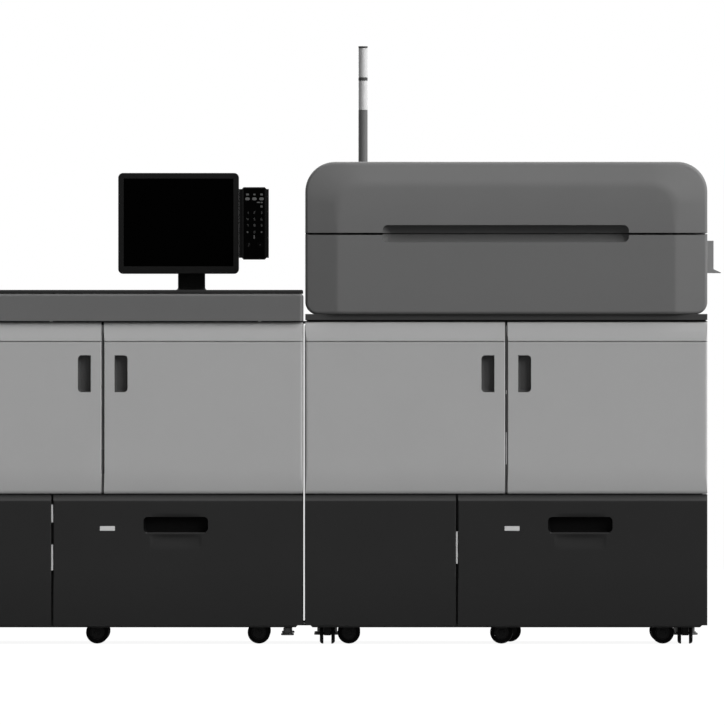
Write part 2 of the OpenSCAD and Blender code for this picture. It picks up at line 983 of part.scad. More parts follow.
// Lower and upper hinge of one door
module hinge_pair() {
    hinge_bracket(door_z + hinge_rise + hinge_plate_rise);
    translate([0, 0, door_top_z - hinge_drop - hinge_plate_rise]) mirror([0, 0, 1]) hinge_bracket(0);
}

module door_hinges() {
    color("#b0b3b6") {
        hang(left_x0, 1) hinge_pair();
        hang(left_x1, -1) hinge_pair();
        hang(right_x0, 1) hinge_pair();
        hang(right_x1, -1) hinge_pair();
    }
}

module counter_top() {
    color("#5e5e5e") difference() {
        span([left_x0, front_y, deck_top_z], [left_x1, back_y, counter_z]);
        span(
            [left_x0 + shell_wall, front_y + shell_wall, deck_top_z - over],
            [left_x1 - shell_wall, back_y - shell_wall, counter_z - shell_wall]
        );
    }
}

// Hood seen from the front, drawn in by inset, with its own radius at its lower corners
module hood_area(inset, foot_r) {
    rounded_area(
        [right_x0 + inset, hood_z],
        [right_x1 - inset, hood_top_z - inset],
        [foot_r, foot_r, hood_r - inset, hood_r - inset]
    );
}

// Whole outside of the hood with its sloped facets
module hood_outside() {
    intersection() {
        union() {
            along_y(front_y, front_y + fascia_depth + over) hood_area(0, hood_foot_r);
            along_y(front_y + fascia_depth, back_y) hood_area(0, 0);
        }
        translate([0, 0, hood_z]) linear_extrude(hood_top_z - hood_z) polygon([
            [right_x0, front_y + facet_fall],
            [right_x0 + facet_w, front_y],
            [right_x1 - facet_w, front_y],
            [right_x1, front_y + facet_fall],
            [right_x1, back_y],
            [right_x0, back_y]
        ]);
        along_x(right_x0, right_x1) polygon([
            [front_y, hood_z],
            [back_y, hood_z],
            [back_y, hood_top_z],
            [front_y + facet_top_fall, hood_top_z],
            [front_y, hood_top_z - facet_h]
        ]);
    }
}

// Grip slot that crosses the split between the hood and its lid
module grip_slot() {
    along_y(front_y - over, front_y + slot_depth) rounded_area(
        [slot_x0, slot_z0], [slot_x1, slot_z1], [slot_r, slot_r, slot_r, slot_r]
    );
}

// Walls of the grip slot between two heights
module grip_cup(z0, z1) {
    span(
        [slot_x0 - cup_wall, front_y + shell_wall - over, z0],
        [slot_x1 + cup_wall, front_y + slot_depth + cup_wall, z1]
    );
}

// Cradle that the toner bottles lie in
module bottle_cradle(y) {
    difference() {
        span(
            [right_x0 + shell_wall - over, y, tub_floor_z - over],
            [right_x1 - shell_wall + over, y + cradle_t, bottle_z - cradle_under]
        );
        for (i = [0:3]) {
            rod_y(bottle_x(i), bottle_z, y - over, y + cradle_t + over, bottle_d + 2 * rest_gap);
        }
    }
}

// Places of the toner bottles across the hood
function bottle_x(i) = right_mid_x + (i - 1.5) * bottle_pitch;

// Part of a hinge between two places: round about the axis, with a web to the side given
module hinge_part(x0, x1, web_y0, web_y1) {
    rod_x(lid_axis_y, lid_axis_z, x0, x1, 2 * barrel_r);
    span([x0, web_y0, lid_axis_z - barrel_r], [x1, web_y1, lid_axis_z + barrel_r]);
}

lug_x0 = right_x0 + lug_inset;
lug_x1 = right_x1 - lug_inset - lug_w;

module hood_body() {
    color("#5f5f5f") difference() {
        union() {
            difference() {
                union() {
                    intersection() {
                        hood_outside();
                        union() {
                            span([right_x0, front_y, hood_z], [right_x1, back_y, split_z - seam / 2]);
                            span([right_x0, rear_y, hood_z], [right_x1, back_y, hood_top_z]);
                        }
                    }
                    span(
                        [right_x0, front_y + plinth_setback, deck_top_z],
                        [right_x1, back_y, hood_z + over]
                    );
                }
                span(
                    [right_x0 + shell_wall, front_y + facet_fall + shell_wall, tub_floor_z],
                    [right_x1 - shell_wall, lid_back_y - shell_wall, hood_top_z]
                );
                span(
                    [right_x0 + shell_wall, front_y + plinth_setback + shell_wall, deck_top_z - over],
                    [right_x1 - shell_wall, back_y - shell_wall, hood_z]
                );
                along_y(rear_y + shell_wall, back_y - shell_wall) translate([0, -over])
                    hood_area(shell_wall, 0);
            }
            grip_cup(slot_z0 - cup_wall, split_z - seam / 2);
            for (y = [bottle_y + cradle_front, bottle_y + cradle_back]) {
                bottle_cradle(y);
            }
            hinge_part(right_x0 + hood_r, lug_x0 - lug_gap, lid_axis_y, rear_y + over);
            hinge_part(lug_x0 + lug_w + lug_gap, lug_x1 - lug_gap, lid_axis_y, rear_y + over);
            hinge_part(lug_x1 + lug_w + lug_gap, right_x1 - hood_r, lid_axis_y, rear_y + over);
            rod_x(lid_axis_y, lid_axis_z, lug_x0 - over, lug_x1 + lug_w + over, lid_pin_d);
            rod_z(
                beacon_x, beacon_y, hood_top_z - socket_depth - socket_wall,
                hood_top_z - over, beacon_d + 2 * socket_wall
            );
        }
        grip_slot();
        rod_z(beacon_x, beacon_y, hood_top_z - socket_depth, hood_top_z + over, beacon_d + 2 * fit);
    }
}

module hood_lid() {
    lid_z = split_z + seam / 2;
    color("#5f5f5f") difference() {
        union() {
            difference() {
                intersection() {
                    hood_outside();
                    span([right_x0, front_y, lid_z], [right_x1, lid_back_y, hood_top_z]);
                }
                along_y(front_y + facet_fall + shell_wall, lid_back_y - shell_wall)
                    hood_area(shell_wall, 0);
            }
            grip_cup(lid_z, slot_z1 + cup_wall);
            for (x = [lug_x0, lug_x1]) {
                hinge_part(x, x + lug_w, lid_back_y - over, lid_axis_y);
            }
        }
        grip_slot();
        rod_x(lid_axis_y, lid_axis_z, lug_x0 - over, lug_x1 + lug_w + over, lid_pin_d + 2 * fit);
    }
}

module beacon_pole() {
    color("#57595b") {
        rod_z(beacon_x, beacon_y, hood_top_z - socket_depth, pole_top_z, beacon_d);
        rod_z(
            beacon_x, beacon_y, pole_top_z - over,
            pole_top_z + 2 * lens_h + ring_h + core_in_cap, core_d
        );
    }
}

// Ring about the beacon's core
module beacon_sleeve(z0, z1) {
    difference() {
        rod_z(beacon_x, beacon_y, z0, z1, beacon_d);
        rod_z(beacon_x, beacon_y, z0 - over, z1 + over, core_d + 2 * fit);
    }
}

module beacon_lenses() {
    color("#dcdcda") {
        beacon_sleeve(pole_top_z, pole_top_z + lens_h);
        beacon_sleeve(pole_top_z + lens_h + ring_h, pole_top_z + 2 * lens_h + ring_h);
    }
}

module beacon_cap() {
    cap_z = pole_top_z + 2 * lens_h + ring_h;
    color("#3c3e40") {
        beacon_sleeve(pole_top_z + lens_h, pole_top_z + lens_h + ring_h);
        difference() {
            rod_z(beacon_x, beacon_y, cap_z, cap_z + cap_h, beacon_d);
            rod_z(beacon_x, beacon_y, cap_z - over, cap_z + core_in_cap, core_d + 2 * fit);
        }
    }
}

module side_bracket() {
    bracket_y = front_y + bracket_from_front;
    color("#7d7f82") along_y(bracket_y, bracket_y + bracket_l)
        translate([right_x1, bracket_z]) polygon([
            [0, 0],
            [bracket_reach, 0],
            [bracket_reach, bracket_toe_h],
            [bracket_t, bracket_foot_h],
            [bracket_t, bracket_h],
            [0, bracket_h]
        ]);
}

inlet_x = right_x1 - inlet_edge - inlet_w;

// Socket block with a flange behind the rear cover and three pins in its well
module mains_inlet() {
    well_y = back_y - inlet_depth;
    color("#1c1c1c") {
        difference() {
            union() {
                span(
                    [inlet_x, frame_back_y, inlet_z],
                    [inlet_x + inlet_w, back_y, inlet_z + inlet_h]
                );
                span(
                    [inlet_x - inlet_flange, frame_back_y - inlet_flange_t, inlet_z - inlet_flange],
                    [
                        inlet_x + inlet_w + inlet_flange, frame_back_y,
                        inlet_z + inlet_h + inlet_flange
                    ]
                );
            }
            span(
                [inlet_x + inlet_wall, well_y, inlet_z + inlet_wall],
                [inlet_x + inlet_w - inlet_wall, back_y + over, inlet_z + inlet_h - inlet_wall]
            );
        }
        for (i = [-1:1]) {
            translate([inlet_x + inlet_w / 2 + i * inlet_pin_pitch, 0, inlet_z + inlet_h / 2])
                span(
                    [-inlet_pin_w / 2, well_y - over, -inlet_pin_h / 2],
                    [inlet_pin_w / 2, back_y - over, inlet_pin_h / 2]
                );
        }
    }
}

// Closed box of electronics on the middle deck, with cooling grooves in its front
module electronics_box(x) {
    y0 = frame_back_y - box_gap - box_l;
    difference() {
        span([x, y0, mid_deck_top_z], [x + box_w, y0 + box_l, mid_deck_top_z + box_h]);
        for (i = [1:box_slots]) {
            translate([x, y0, mid_deck_top_z + i * box_slot_pitch]) span(
                [box_slot_pitch, -over, 0],
                [box_w - box_slot_pitch, box_slot_depth, box_slot_h]
            );
        }
    }
}

module electronics_boxes() {
    color("#a8abad") {
        electronics_box((left_x0 + left_x1 - box_w) / 2);
        electronics_box(right_mid_x - box_w / 2);
    }
}

module fuser_frame() {
    base_z = mid_deck_top_z;
    top_z = hot_roller_z + fuser_roller_d / 2 + fuser_bar_gap + fuser_bar;
    x0 = fuser_x - fuser_half_w;
    x1 = fuser_x + fuser_half_w;
    y1 = fuser_plate_y + fuser_plate_t;
    color("#7e8184") difference() {
        union() {
            span([x0, -y1, base_z], [x1, -fuser_plate_y, top_z]);
            span([x0, fuser_plate_y, base_z], [x1, y1, top_z]);
            span([x0, -y1, base_z], [x1, y1, base_z + fuser_base_t]);
            for (x = [x0, x1 - fuser_bar]) {
                span([x, -y1, top_z - fuser_bar], [x + fuser_bar, y1, top_z]);
            }
        }
        for (z = [hot_roller_z, pressure_roller_z]) {
            rod_y(fuser_x, z, -y1 - over, y1 + over, fuser_shaft_d + 2 * fit);
        }
    }
}

// Roller with its shaft, turning in the fuser's plates
module fuser_roller(z) {
    y1 = fuser_plate_y + fuser_plate_t;
    rod_y(fuser_x, z, -roller_l / 2, roller_l / 2, fuser_roller_d);
    rod_y(fuser_x, z, -y1, y1, fuser_shaft_d);
}

module hot_roller() {
    color("#2b2b2b") fuser_roller(hot_roller_z);
}

module pressure_roller() {
    color("#b5512f") fuser_roller(pressure_roller_z);
}

// Image drum with its shaft, turning in the process plates
module image_drum(i) {
    y1 = plate_y + plate_t;
    rod_y(drum_x(i), drum_z, -roller_l / 2, roller_l / 2, drum_d);
    rod_y(drum_x(i), drum_z, -y1, y1, drum_shaft_d);
}

module black_drum() {
    color("#2f6f5f") image_drum(0);
}

module cyan_drum() {
    color("#2f6f5f") image_drum(1);
}

module magenta_drum() {
    color("#2f6f5f") image_drum(2);
}

module yellow_drum() {
    color("#2f6f5f") image_drum(3);
}

module developer_units() {
    color("#3a3c3e") for (i = [0:3]) {
        difference() {
            span(
                [drum_x(i) - developer_w / 2, -plate_y, drum_z + developer_drop],
                [drum_x(i) + developer_w / 2, plate_y, drum_z + developer_top]
            );
            rod_y(drum_x(i), drum_z, -plate_y - over, plate_y + over, drum_d + 2 * nip_gap);
        }
    }
}

module transfer_unit() {
    y1 = plate_y + plate_t;
    color("#1d1d1f") {
        along_y(-roller_l / 2, roller_l / 2) rounded_area(
            [right_mid_x - belt_l / 2, belt_top_z - belt_h],
            [right_mid_x + belt_l / 2, belt_top_z],
            [belt_h / 2, belt_h / 2, belt_h / 2, belt_h / 2]
        );
        for (side = [-1, 1]) {
            rod_y(belt_shaft_x(side), belt_top_z - belt_h / 2, -y1, y1, belt_shaft_d);
        }
    }
}

module toner_bottles() {
    y1 = bottle_y + bottle_l;
    color("#3e4043") for (i = [0:3]) {
        rod_y(bottle_x(i), bottle_z, bottle_y + bottle_neck_l, y1, bottle_d);
        rod_y(bottle_x(i), bottle_z, bottle_y, y1, bottle_neck_d);
        rod_y(bottle_x(i), bottle_z, bottle_y + bottle_neck_l / 3, y1, bottle_ring_d);
    }
}

// Body of one caster: a plate in its pocket and a block that holds the axle
module caster_housing(x, y) {
    roof_z = base_clear + pocket_depth;
    difference() {
        union() {
            rod_z(x, y, roof_z - housing_plate_t, roof_z, housing_plate_d);
            along_y(y - housing_t / 2, y + housing_t / 2) {
                translate([x - housing_w / 2, wheel_d / 2])
                    square([housing_w, roof_z - wheel_d / 2 - housing_plate_t / 2]);
                translate([x, wheel_d / 2]) circle(d = housing_w);
            }
        }
        rod_y(x, wheel_d / 2, y - housing_t, y + housing_t, axle_d + 2 * fit);
    }
}

module caster_housings() {
    color("#1e1f20") {
        for (x = [left_outer_x, left_middle_x, left_inner_x, right_inner_x, right_outer_x]) {
            for (y = [-caster_y, caster_y]) {
                caster_housing(x, y);
            }
        }
        caster_housing(right_middle_front_x, -caster_y);
        caster_housing(right_middle_rear_x, caster_y);
    }
}

// Two wheels and their axle, at both sides of a caster's housing
module caster_wheels(x, y) {
    near = housing_t / 2 + wheel_gap;
    far = near + wheel_t;
    wheel_y(x, wheel_d / 2, y - far, y - near, wheel_d, wheel_edge_r, wheel_edge_r);
    wheel_y(x, wheel_d / 2, y + near, y + far, wheel_d, wheel_edge_r, wheel_edge_r);
    rod_y(x, wheel_d / 2, y - far, y + far, axle_d);
}

// Wheels of the front and the rear caster that stand in one line
module wheel_line(x) {
    for (y = [-caster_y, caster_y]) {
        caster_wheels(x, y);
    }
}

module left_outer_wheels() {
    color("#161616") wheel_line(left_outer_x);
}

module left_middle_wheels() {
    color("#161616") wheel_line(left_middle_x);
}

module left_inner_wheels() {
    color("#161616") wheel_line(left_inner_x);
}

module right_inner_wheels() {
    color("#161616") wheel_line(right_inner_x);
}

module right_middle_front_wheels() {
    color("#161616") caster_wheels(right_middle_front_x, -caster_y);
}

module right_middle_rear_wheels() {
    color("#161616") caster_wheels(right_middle_rear_x, caster_y);
}

module right_outer_wheels() {
    color("#161616") wheel_line(right_outer_x);
}

small_wheel_z = small_wheel_d / 2 + small_wheel_lift;
stabiliser_y = front_y + stabiliser_from_front;

// Swivelling block of a stabiliser with its stem in the base
module stabiliser_fork(x) {
    roof_z = base_clear + pocket_depth;
    half_w = stabiliser_block_w / 2;
    difference() {
        union() {
            span(
                [x - half_w, stabiliser_y - half_w, small_wheel_z - small_axle_d],
                [x + half_w, stabiliser_y + trail + half_w, roof_z - fork_clear]
            );
            rod_z(x, stabiliser_y, roof_z - fork_clear - over, roof_z + stem_l, stem_d);
        }
        rod_x(
            stabiliser_y + trail, small_wheel_z,
            x - half_w - over, x + half_w + over, small_axle_d + 2 * fit
        );
    }
}

module left_stabiliser_fork() {
    color("#1e1f20") stabiliser_fork(left_stabiliser_x);
}

module right_stabiliser_fork() {
    color("#1e1f20") stabiliser_fork(right_stabiliser_x);
}

// Two thin domed wheels and their axle
module stabiliser_wheels(x) {
    near = stabiliser_block_w / 2 + wheel_gap;
    far = near + small_wheel_t;
    y = stabiliser_y + trail;
    wheel_x(y, small_wheel_z, x - far, x - near, small_wheel_d, small_wheel_dome, 0);
    wheel_x(y, small_wheel_z, x + near, x + far, small_wheel_d, 0, small_wheel_dome);
    rod_x(y, small_wheel_z, x - far, x + far, small_axle_d);
}

module left_stabiliser_wheels() {
    color("#161616") stabiliser_wheels(left_stabiliser_x);
}

module right_stabiliser_wheels() {
    color("#161616") stabiliser_wheels(right_stabiliser_x);
}

// Levelling foot: pad, wide nut and screw
module levelling_foot(x, y, pad_d, nut_d) {
    pad_top_z = foot_clear + foot_t;
    nut_top_z = base_clear - small_wheel_lift;
    rod_z(x, y, foot_clear, pad_top_z, pad_d);
    rod_z(x, y, foot_clear, nut_top_z, nut_d);
    rod_z(x, y, foot_clear, nut_top_z + foot_screw_l, foot_screw_d);
}

// Four feet of a module
module feet_of_module(x0, x1, inset, foot_y, pad_d, nut_d) {
    for (x = [x0 + inset, x1 - inset]) {
        for (y = [-foot_y, foot_y]) {
            levelling_foot(x, y, pad_d, nut_d);
        }
    }
}

module left_levelling_feet() {
    color("#2a2b2c") feet_of_module(
        left_x0, left_x1, left_foot_inset, left_foot_y, left_foot_d, left_foot_stem_d
    );
}

module right_levelling_feet() {
    color("#55585a") feet_of_module(
        right_x0, right_x1, right_foot_inset, right_foot_y, right_foot_d, right_foot_stem_d
    );
}

// Area of the stand or its foot seen from above, wider by edge all round
module stand_area(edge) {
    rounded_area(
        [stand_x - stand_w / 2 - edge, stand_y - stand_t / 2 - edge],
        [stand_x + stand_w / 2 + edge, stand_y + stand_t / 2 + edge],
        [stand_r, stand_r, stand_r, stand_r]
    );
}

module monitor_stand() {
    color("#151515") {
        translate([0, 0, counter_z]) linear_extrude(stand_h) stand_area(0);
        translate([0, 0, counter_z]) linear_extrude(stand_foot_t) stand_area(stand_foot_edge);
        rod_z(stand_x, stand_y, counter_z, counter_z + stand_h + pivot_l, pivot_d);
    }
}

// Ear of the yoke, from its block up to the tilt axis
module yoke_ear(x) {
    along_x(x, x + yoke_ear_t) {
        polygon([
            [stand_y - stand_t / 2, yoke_top_z - yoke_ear_root],
            [stand_y + stand_t / 2, yoke_top_z - yoke_ear_root],
            [stand_y + stand_t / 2, yoke_top_z],
            [tilt_y + yoke_ear_r, tilt_z],
            [tilt_y - yoke_ear_r, tilt_z]
        ]);
        translate([tilt_y, tilt_z]) circle(r = yoke_ear_r);
    }
}

module monitor_yoke() {
    color("#1b1b1b") difference() {
        union() {
            span(
                [stand_x - yoke_half_w, stand_y - stand_t / 2, yoke_z],
                [stand_x + yoke_half_w, stand_y + stand_t / 2, yoke_top_z]
            );
            yoke_ear(stand_x - yoke_half_w);
            yoke_ear(stand_x + yoke_half_w - yoke_ear_t);
        }
        rod_z(stand_x, stand_y, yoke_z - over, yoke_z + pivot_l + over, pivot_d + 2 * fit);
        rod_x(
            tilt_y, tilt_z, stand_x - yoke_half_w - over,
            stand_x + yoke_half_w + over, tilt_pin_d + 2 * fit
        );
    }
}

// Outline of the monitor's screen seen from the front, wider by edge all round
module screen_area(edge) {
    rounded_area(
        [monitor_x - screen_w / 2 - edge, screen_z - edge],
        [monitor_x + screen_w / 2 + edge, screen_z + screen_h + edge],
        [edge, edge, edge, edge]
    );
}

module monitor_housing() {
    lug_half = yoke_half_w - yoke_ear_t - rest_gap;
    color("#171717") {
        difference() {
            along_y(monitor_y, monitor_back_y) rounded_area(
                [monitor_x - monitor_w / 2, monitor_z],
                [monitor_x + monitor_w / 2, monitor_z + monitor_h],
                [monitor_r, monitor_r, monitor_r, monitor_r]
            );
            along_y(monitor_y - over, monitor_y + screen_t) screen_area(fit);
        }
        along_x(stand_x - lug_half, stand_x + lug_half) {
            translate([monitor_back_y - over, tilt_z - yoke_ear_r])
                square([tilt_back + over, 2 * yoke_ear_r]);
            translate([tilt_y, tilt_z]) circle(r = yoke_ear_r);
        }
        rod_x(tilt_y, tilt_z, stand_x - yoke_half_w, stand_x + yoke_half_w, tilt_pin_d);
    }
}

module monitor_screen() {
    color("#020202") along_y(monitor_y, monitor_y + screen_t) screen_area(0);
}

// Outline of the keypad's front with its chamfered corners
module keypad_area() {
    translate([keypad_x, keypad_z]) polygon([
        [keypad_chamfer, 0],
        [keypad_w - keypad_chamfer, 0],
        [keypad_w, keypad_chamfer],
        [keypad_w, keypad_h - keypad_chamfer],
        [keypad_w - keypad_chamfer, keypad_h],
        [keypad_chamfer, keypad_h],
        [0, keypad_h - keypad_chamfer],
        [0, keypad_chamfer]
    ]);
}

// Membrane's outline, smaller than the keypad by edge all round
module membrane_area(edge) {
    translate([keypad_x + edge, keypad_z + edge])
        square([keypad_w - 2 * edge, keypad_h - 2 * edge]);
}

module keypad_housing() {
    back_x = monitor_x + monitor_w / 2;
    deep = key_depth + key_travel + over;
    color("#101010") difference() {
        union() {
            along_y(keypad_y, keypad_y + keypad_front_t) keypad_area();
            span(
                [back_x, keypad_y + keypad_front_t - over, keypad_z + keypad_back_inset],
                [
                    back_x + keypad_back_w, keypad_y + keypad_front_t + keypad_back_t,
                    keypad_z + keypad_h - keypad_back_inset
                ]
            );
        }
        along_y(keypad_y - over, keypad_y + membrane_t) membrane_area(membrane_edge - fit);
        for (side = [-1, 1]) {
            rod_y(
                key_x + side * key_spread, key_z, keypad_y - over,
                keypad_y + membrane_t + deep, key_d + 2 * fit
            );
        }
    }
}

module keypad_membrane() {
    color("#0a0a0a") difference() {
        along_y(keypad_y, keypad_y + membrane_t) membrane_area(membrane_edge);
        for (side = [-1, 1]) {
            rod_y(
                key_x + side * key_spread, key_z, keypad_y - over,
                keypad_y + membrane_t + over, key_d + 2 * fit
            );
        }
    }
}

// Round key that stands proud of the membrane
module round_key(side) {
    rod_y(
        key_x + side * key_spread, key_z, keypad_y - key_proud,
        keypad_y + membrane_t + key_depth, key_d
    );
}

module start_key() {
    color("#0c0c0c") round_key(1);
}

module stop_key() {
    color("#0c0c0c") round_key(-1);
}

left_frame();
right_frame();
left_rear_cover();
right_rear_cover();
left_end_cover();
right_end_cover();
lower_covers();
counter_top();
hood_body();
beacon_pole();
beacon_lenses();
beacon_cap();
side_bracket();
mains_inlet();
electronics_boxes();
fuser_frame();
developer_units();
transfer_unit();
toner_bottles();
drawer_runners();
door_hinges();
caster_housings();
monitor_stand();
left_module_left_door();
left_module_right_door();
right_module_left_door();
right_module_right_door();
left_drawer_front();
left_drawer_tray();
left_lift_plate();
right_drawer_front();
right_drawer_tray();
right_lift_plate();
hood_lid();
monitor_yoke();
monitor_housing();
monitor_screen();
keypad_housing();
keypad_membrane();
start_key();
stop_key();
hot_roller();
pressure_roller();
black_drum();
cyan_drum();
magenta_drum();
yellow_drum();
left_outer_wheels();
left_middle_wheels();
left_inner_wheels();
right_inner_wheels();
right_middle_front_wheels();
right_middle_rear_wheels();
right_outer_wheels();
left_stabiliser_fork();
right_stabiliser_fork();
left_stabiliser_wheels();
right_stabiliser_wheels();
left_levelling_feet();
right_levelling_feet();
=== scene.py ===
"""Looks of the digital production printer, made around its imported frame.

Sizes are in millimetres until a mesh is made. X and Z places are those of the frame.
"""
import json
import math

import bmesh
import bpy
from mathutils import Matrix, Vector

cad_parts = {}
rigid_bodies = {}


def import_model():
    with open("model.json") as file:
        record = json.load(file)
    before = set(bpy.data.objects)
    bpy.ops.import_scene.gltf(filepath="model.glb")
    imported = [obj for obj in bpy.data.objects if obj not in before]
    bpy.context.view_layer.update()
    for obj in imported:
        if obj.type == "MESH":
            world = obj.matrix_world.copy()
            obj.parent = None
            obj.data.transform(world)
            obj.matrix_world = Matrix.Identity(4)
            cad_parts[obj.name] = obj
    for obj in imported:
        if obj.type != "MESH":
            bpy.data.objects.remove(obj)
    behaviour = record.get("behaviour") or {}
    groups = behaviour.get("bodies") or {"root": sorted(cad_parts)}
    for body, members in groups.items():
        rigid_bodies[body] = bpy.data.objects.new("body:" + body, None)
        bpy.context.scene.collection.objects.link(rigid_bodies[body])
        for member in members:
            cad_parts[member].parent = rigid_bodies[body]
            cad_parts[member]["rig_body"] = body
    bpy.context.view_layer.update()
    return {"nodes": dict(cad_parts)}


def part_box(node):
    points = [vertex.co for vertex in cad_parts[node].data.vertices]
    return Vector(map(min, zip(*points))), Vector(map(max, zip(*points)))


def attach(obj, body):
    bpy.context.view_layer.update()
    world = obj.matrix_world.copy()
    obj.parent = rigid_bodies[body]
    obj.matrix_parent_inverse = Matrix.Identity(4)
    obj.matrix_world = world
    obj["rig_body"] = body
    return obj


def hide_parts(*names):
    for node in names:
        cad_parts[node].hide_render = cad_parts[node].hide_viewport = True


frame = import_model()
nodes = frame["nodes"]
scene = bpy.context.scene

# How far a skin lies inside the CAD solid that it dresses
GAP = 0.15
# How far a cutting form reaches past the solid that it cuts
PAST = 5


def mmbox(node):
    """Lowest and highest corner of a node at rest, in millimetres."""
    lo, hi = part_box(node)
    return lo * 1000, hi * 1000


# Outer edges of each module's pair of doors
LEFT_X0 = mmbox("left_module_left_door")[0].x
LEFT_X1 = mmbox("left_module_right_door")[1].x
RIGHT_X0 = mmbox("right_module_left_door")[0].x
RIGHT_X1 = mmbox("right_module_right_door")[1].x


# Camera, level and square to the doors, with a very long lens

LENS = 1700.0
SENSOR_WIDTH = 36.0
PICTURE_WIDTH = 2.396
PLANE_Y = -0.30
PICTURE_CENTRE = ((RIGHT_X0 + 188.9) / 1000, 0.9280)


def camera():
    """The photo's view: PICTURE_WIDTH metres fill the picture at PLANE_Y."""
    cam = bpy.data.objects.new("camera", bpy.data.cameras.new("camera"))
    scene.collection.objects.link(cam)
    cam.data.lens = LENS
    cam.data.sensor_width = SENSOR_WIDTH
    cam.data.clip_start = 1.0
    cam.data.clip_end = 1000.0
    distance = PICTURE_WIDTH * LENS / SENSOR_WIDTH
    cam.location = (PICTURE_CENTRE[0], PLANE_Y - distance, PICTURE_CENTRE[1])
    cam.rotation_euler = (math.radians(90), 0, 0)
    scene.camera = cam


# Materials

def linear(grey):
    """Linear value of a display grey from 0 to 255."""
    c = grey / 255.0
    return c / 12.92 if c <= 0.04045 else ((c + 0.055) / 1.055) ** 2.4


def rgb(value):
    """Linear colour of one display grey, or of three display values."""
    if isinstance(value, (int, float)):
        value = (value, value, value)
    return tuple(linear(v) for v in value) + (1.0,)


def add_node(tree, kind, values=None, links=None):
    """A new shader node, with some inputs set to values and others linked to outputs."""
    made = tree.nodes.new("ShaderNode" + kind)
    for key, value in (values or {}).items():
        made.inputs[key].default_value = value
    for key, source in (links or {}).items():
        tree.links.new(source, made.inputs[key])
    return made


def finish(name, colour, rough=0.5, metallic=0.0, vary=0.05, vary_scale=6.0, grain=0.0, grain_scale=900.0,
           rough_vary=0.06, stretch=(1, 1, 1), coat=0.0, specular=0.5, tint=None):
    """A finish with slow colour drift, roughness drift and a fine surface grain."""
    low, high = 0.3, 0.7
    mat = bpy.data.materials.new(name)
    mat.use_nodes = True
    tree = mat.node_tree
    shader = tree.nodes["Principled BSDF"]
    for key, value in (("Metallic", metallic), ("Specular IOR Level", specular), ("Coat Weight", coat)):
        shader.inputs[key].default_value = value
    coords = add_node(tree, "TexCoord").outputs["Object"]
    stretched = add_node(tree, "Mapping", {"Scale": stretch}, {"Vector": coords}).outputs["Vector"]
    noise = {"Scale": vary_scale, "Detail": 6.0, "Roughness": 0.62}
    drift = add_node(tree, "TexNoise", noise, {"Vector": stretched}).outputs["Fac"]
    ramp = add_node(tree, "ValToRGB", links={"Fac": drift})
    for end, at, share, shade in zip(ramp.color_ramp.elements, (low, high), (1 - vary, 1 + vary),
                                     (colour, tint or colour)):
        end.position = at
        end.color = tuple(min(1.0, c * share) for c in rgb(shade)[:3]) + (1.0,)
    tree.links.new(ramp.outputs["Color"], shader.inputs["Base Color"])
    span = {"From Min": low, "From Max": high, "To Min": max(0.02, rough - rough_vary),
            "To Max": min(1.0, rough + rough_vary)}
    smudge = add_node(tree, "MapRange", span, {"Value": drift})
    tree.links.new(smudge.outputs["Result"], shader.inputs["Roughness"])
    if grain:
        fine = add_node(tree, "TexNoise", {"Scale": grain_scale, "Detail": 3.0}, {"Vector": stretched})
        height = {"Height": fine.outputs["Fac"]}
        bump = add_node(tree, "Bump", {"Strength": grain, "Distance": 0.0004}, height)
        tree.links.new(bump.outputs["Normal"], shader.inputs["Normal"])
    return mat


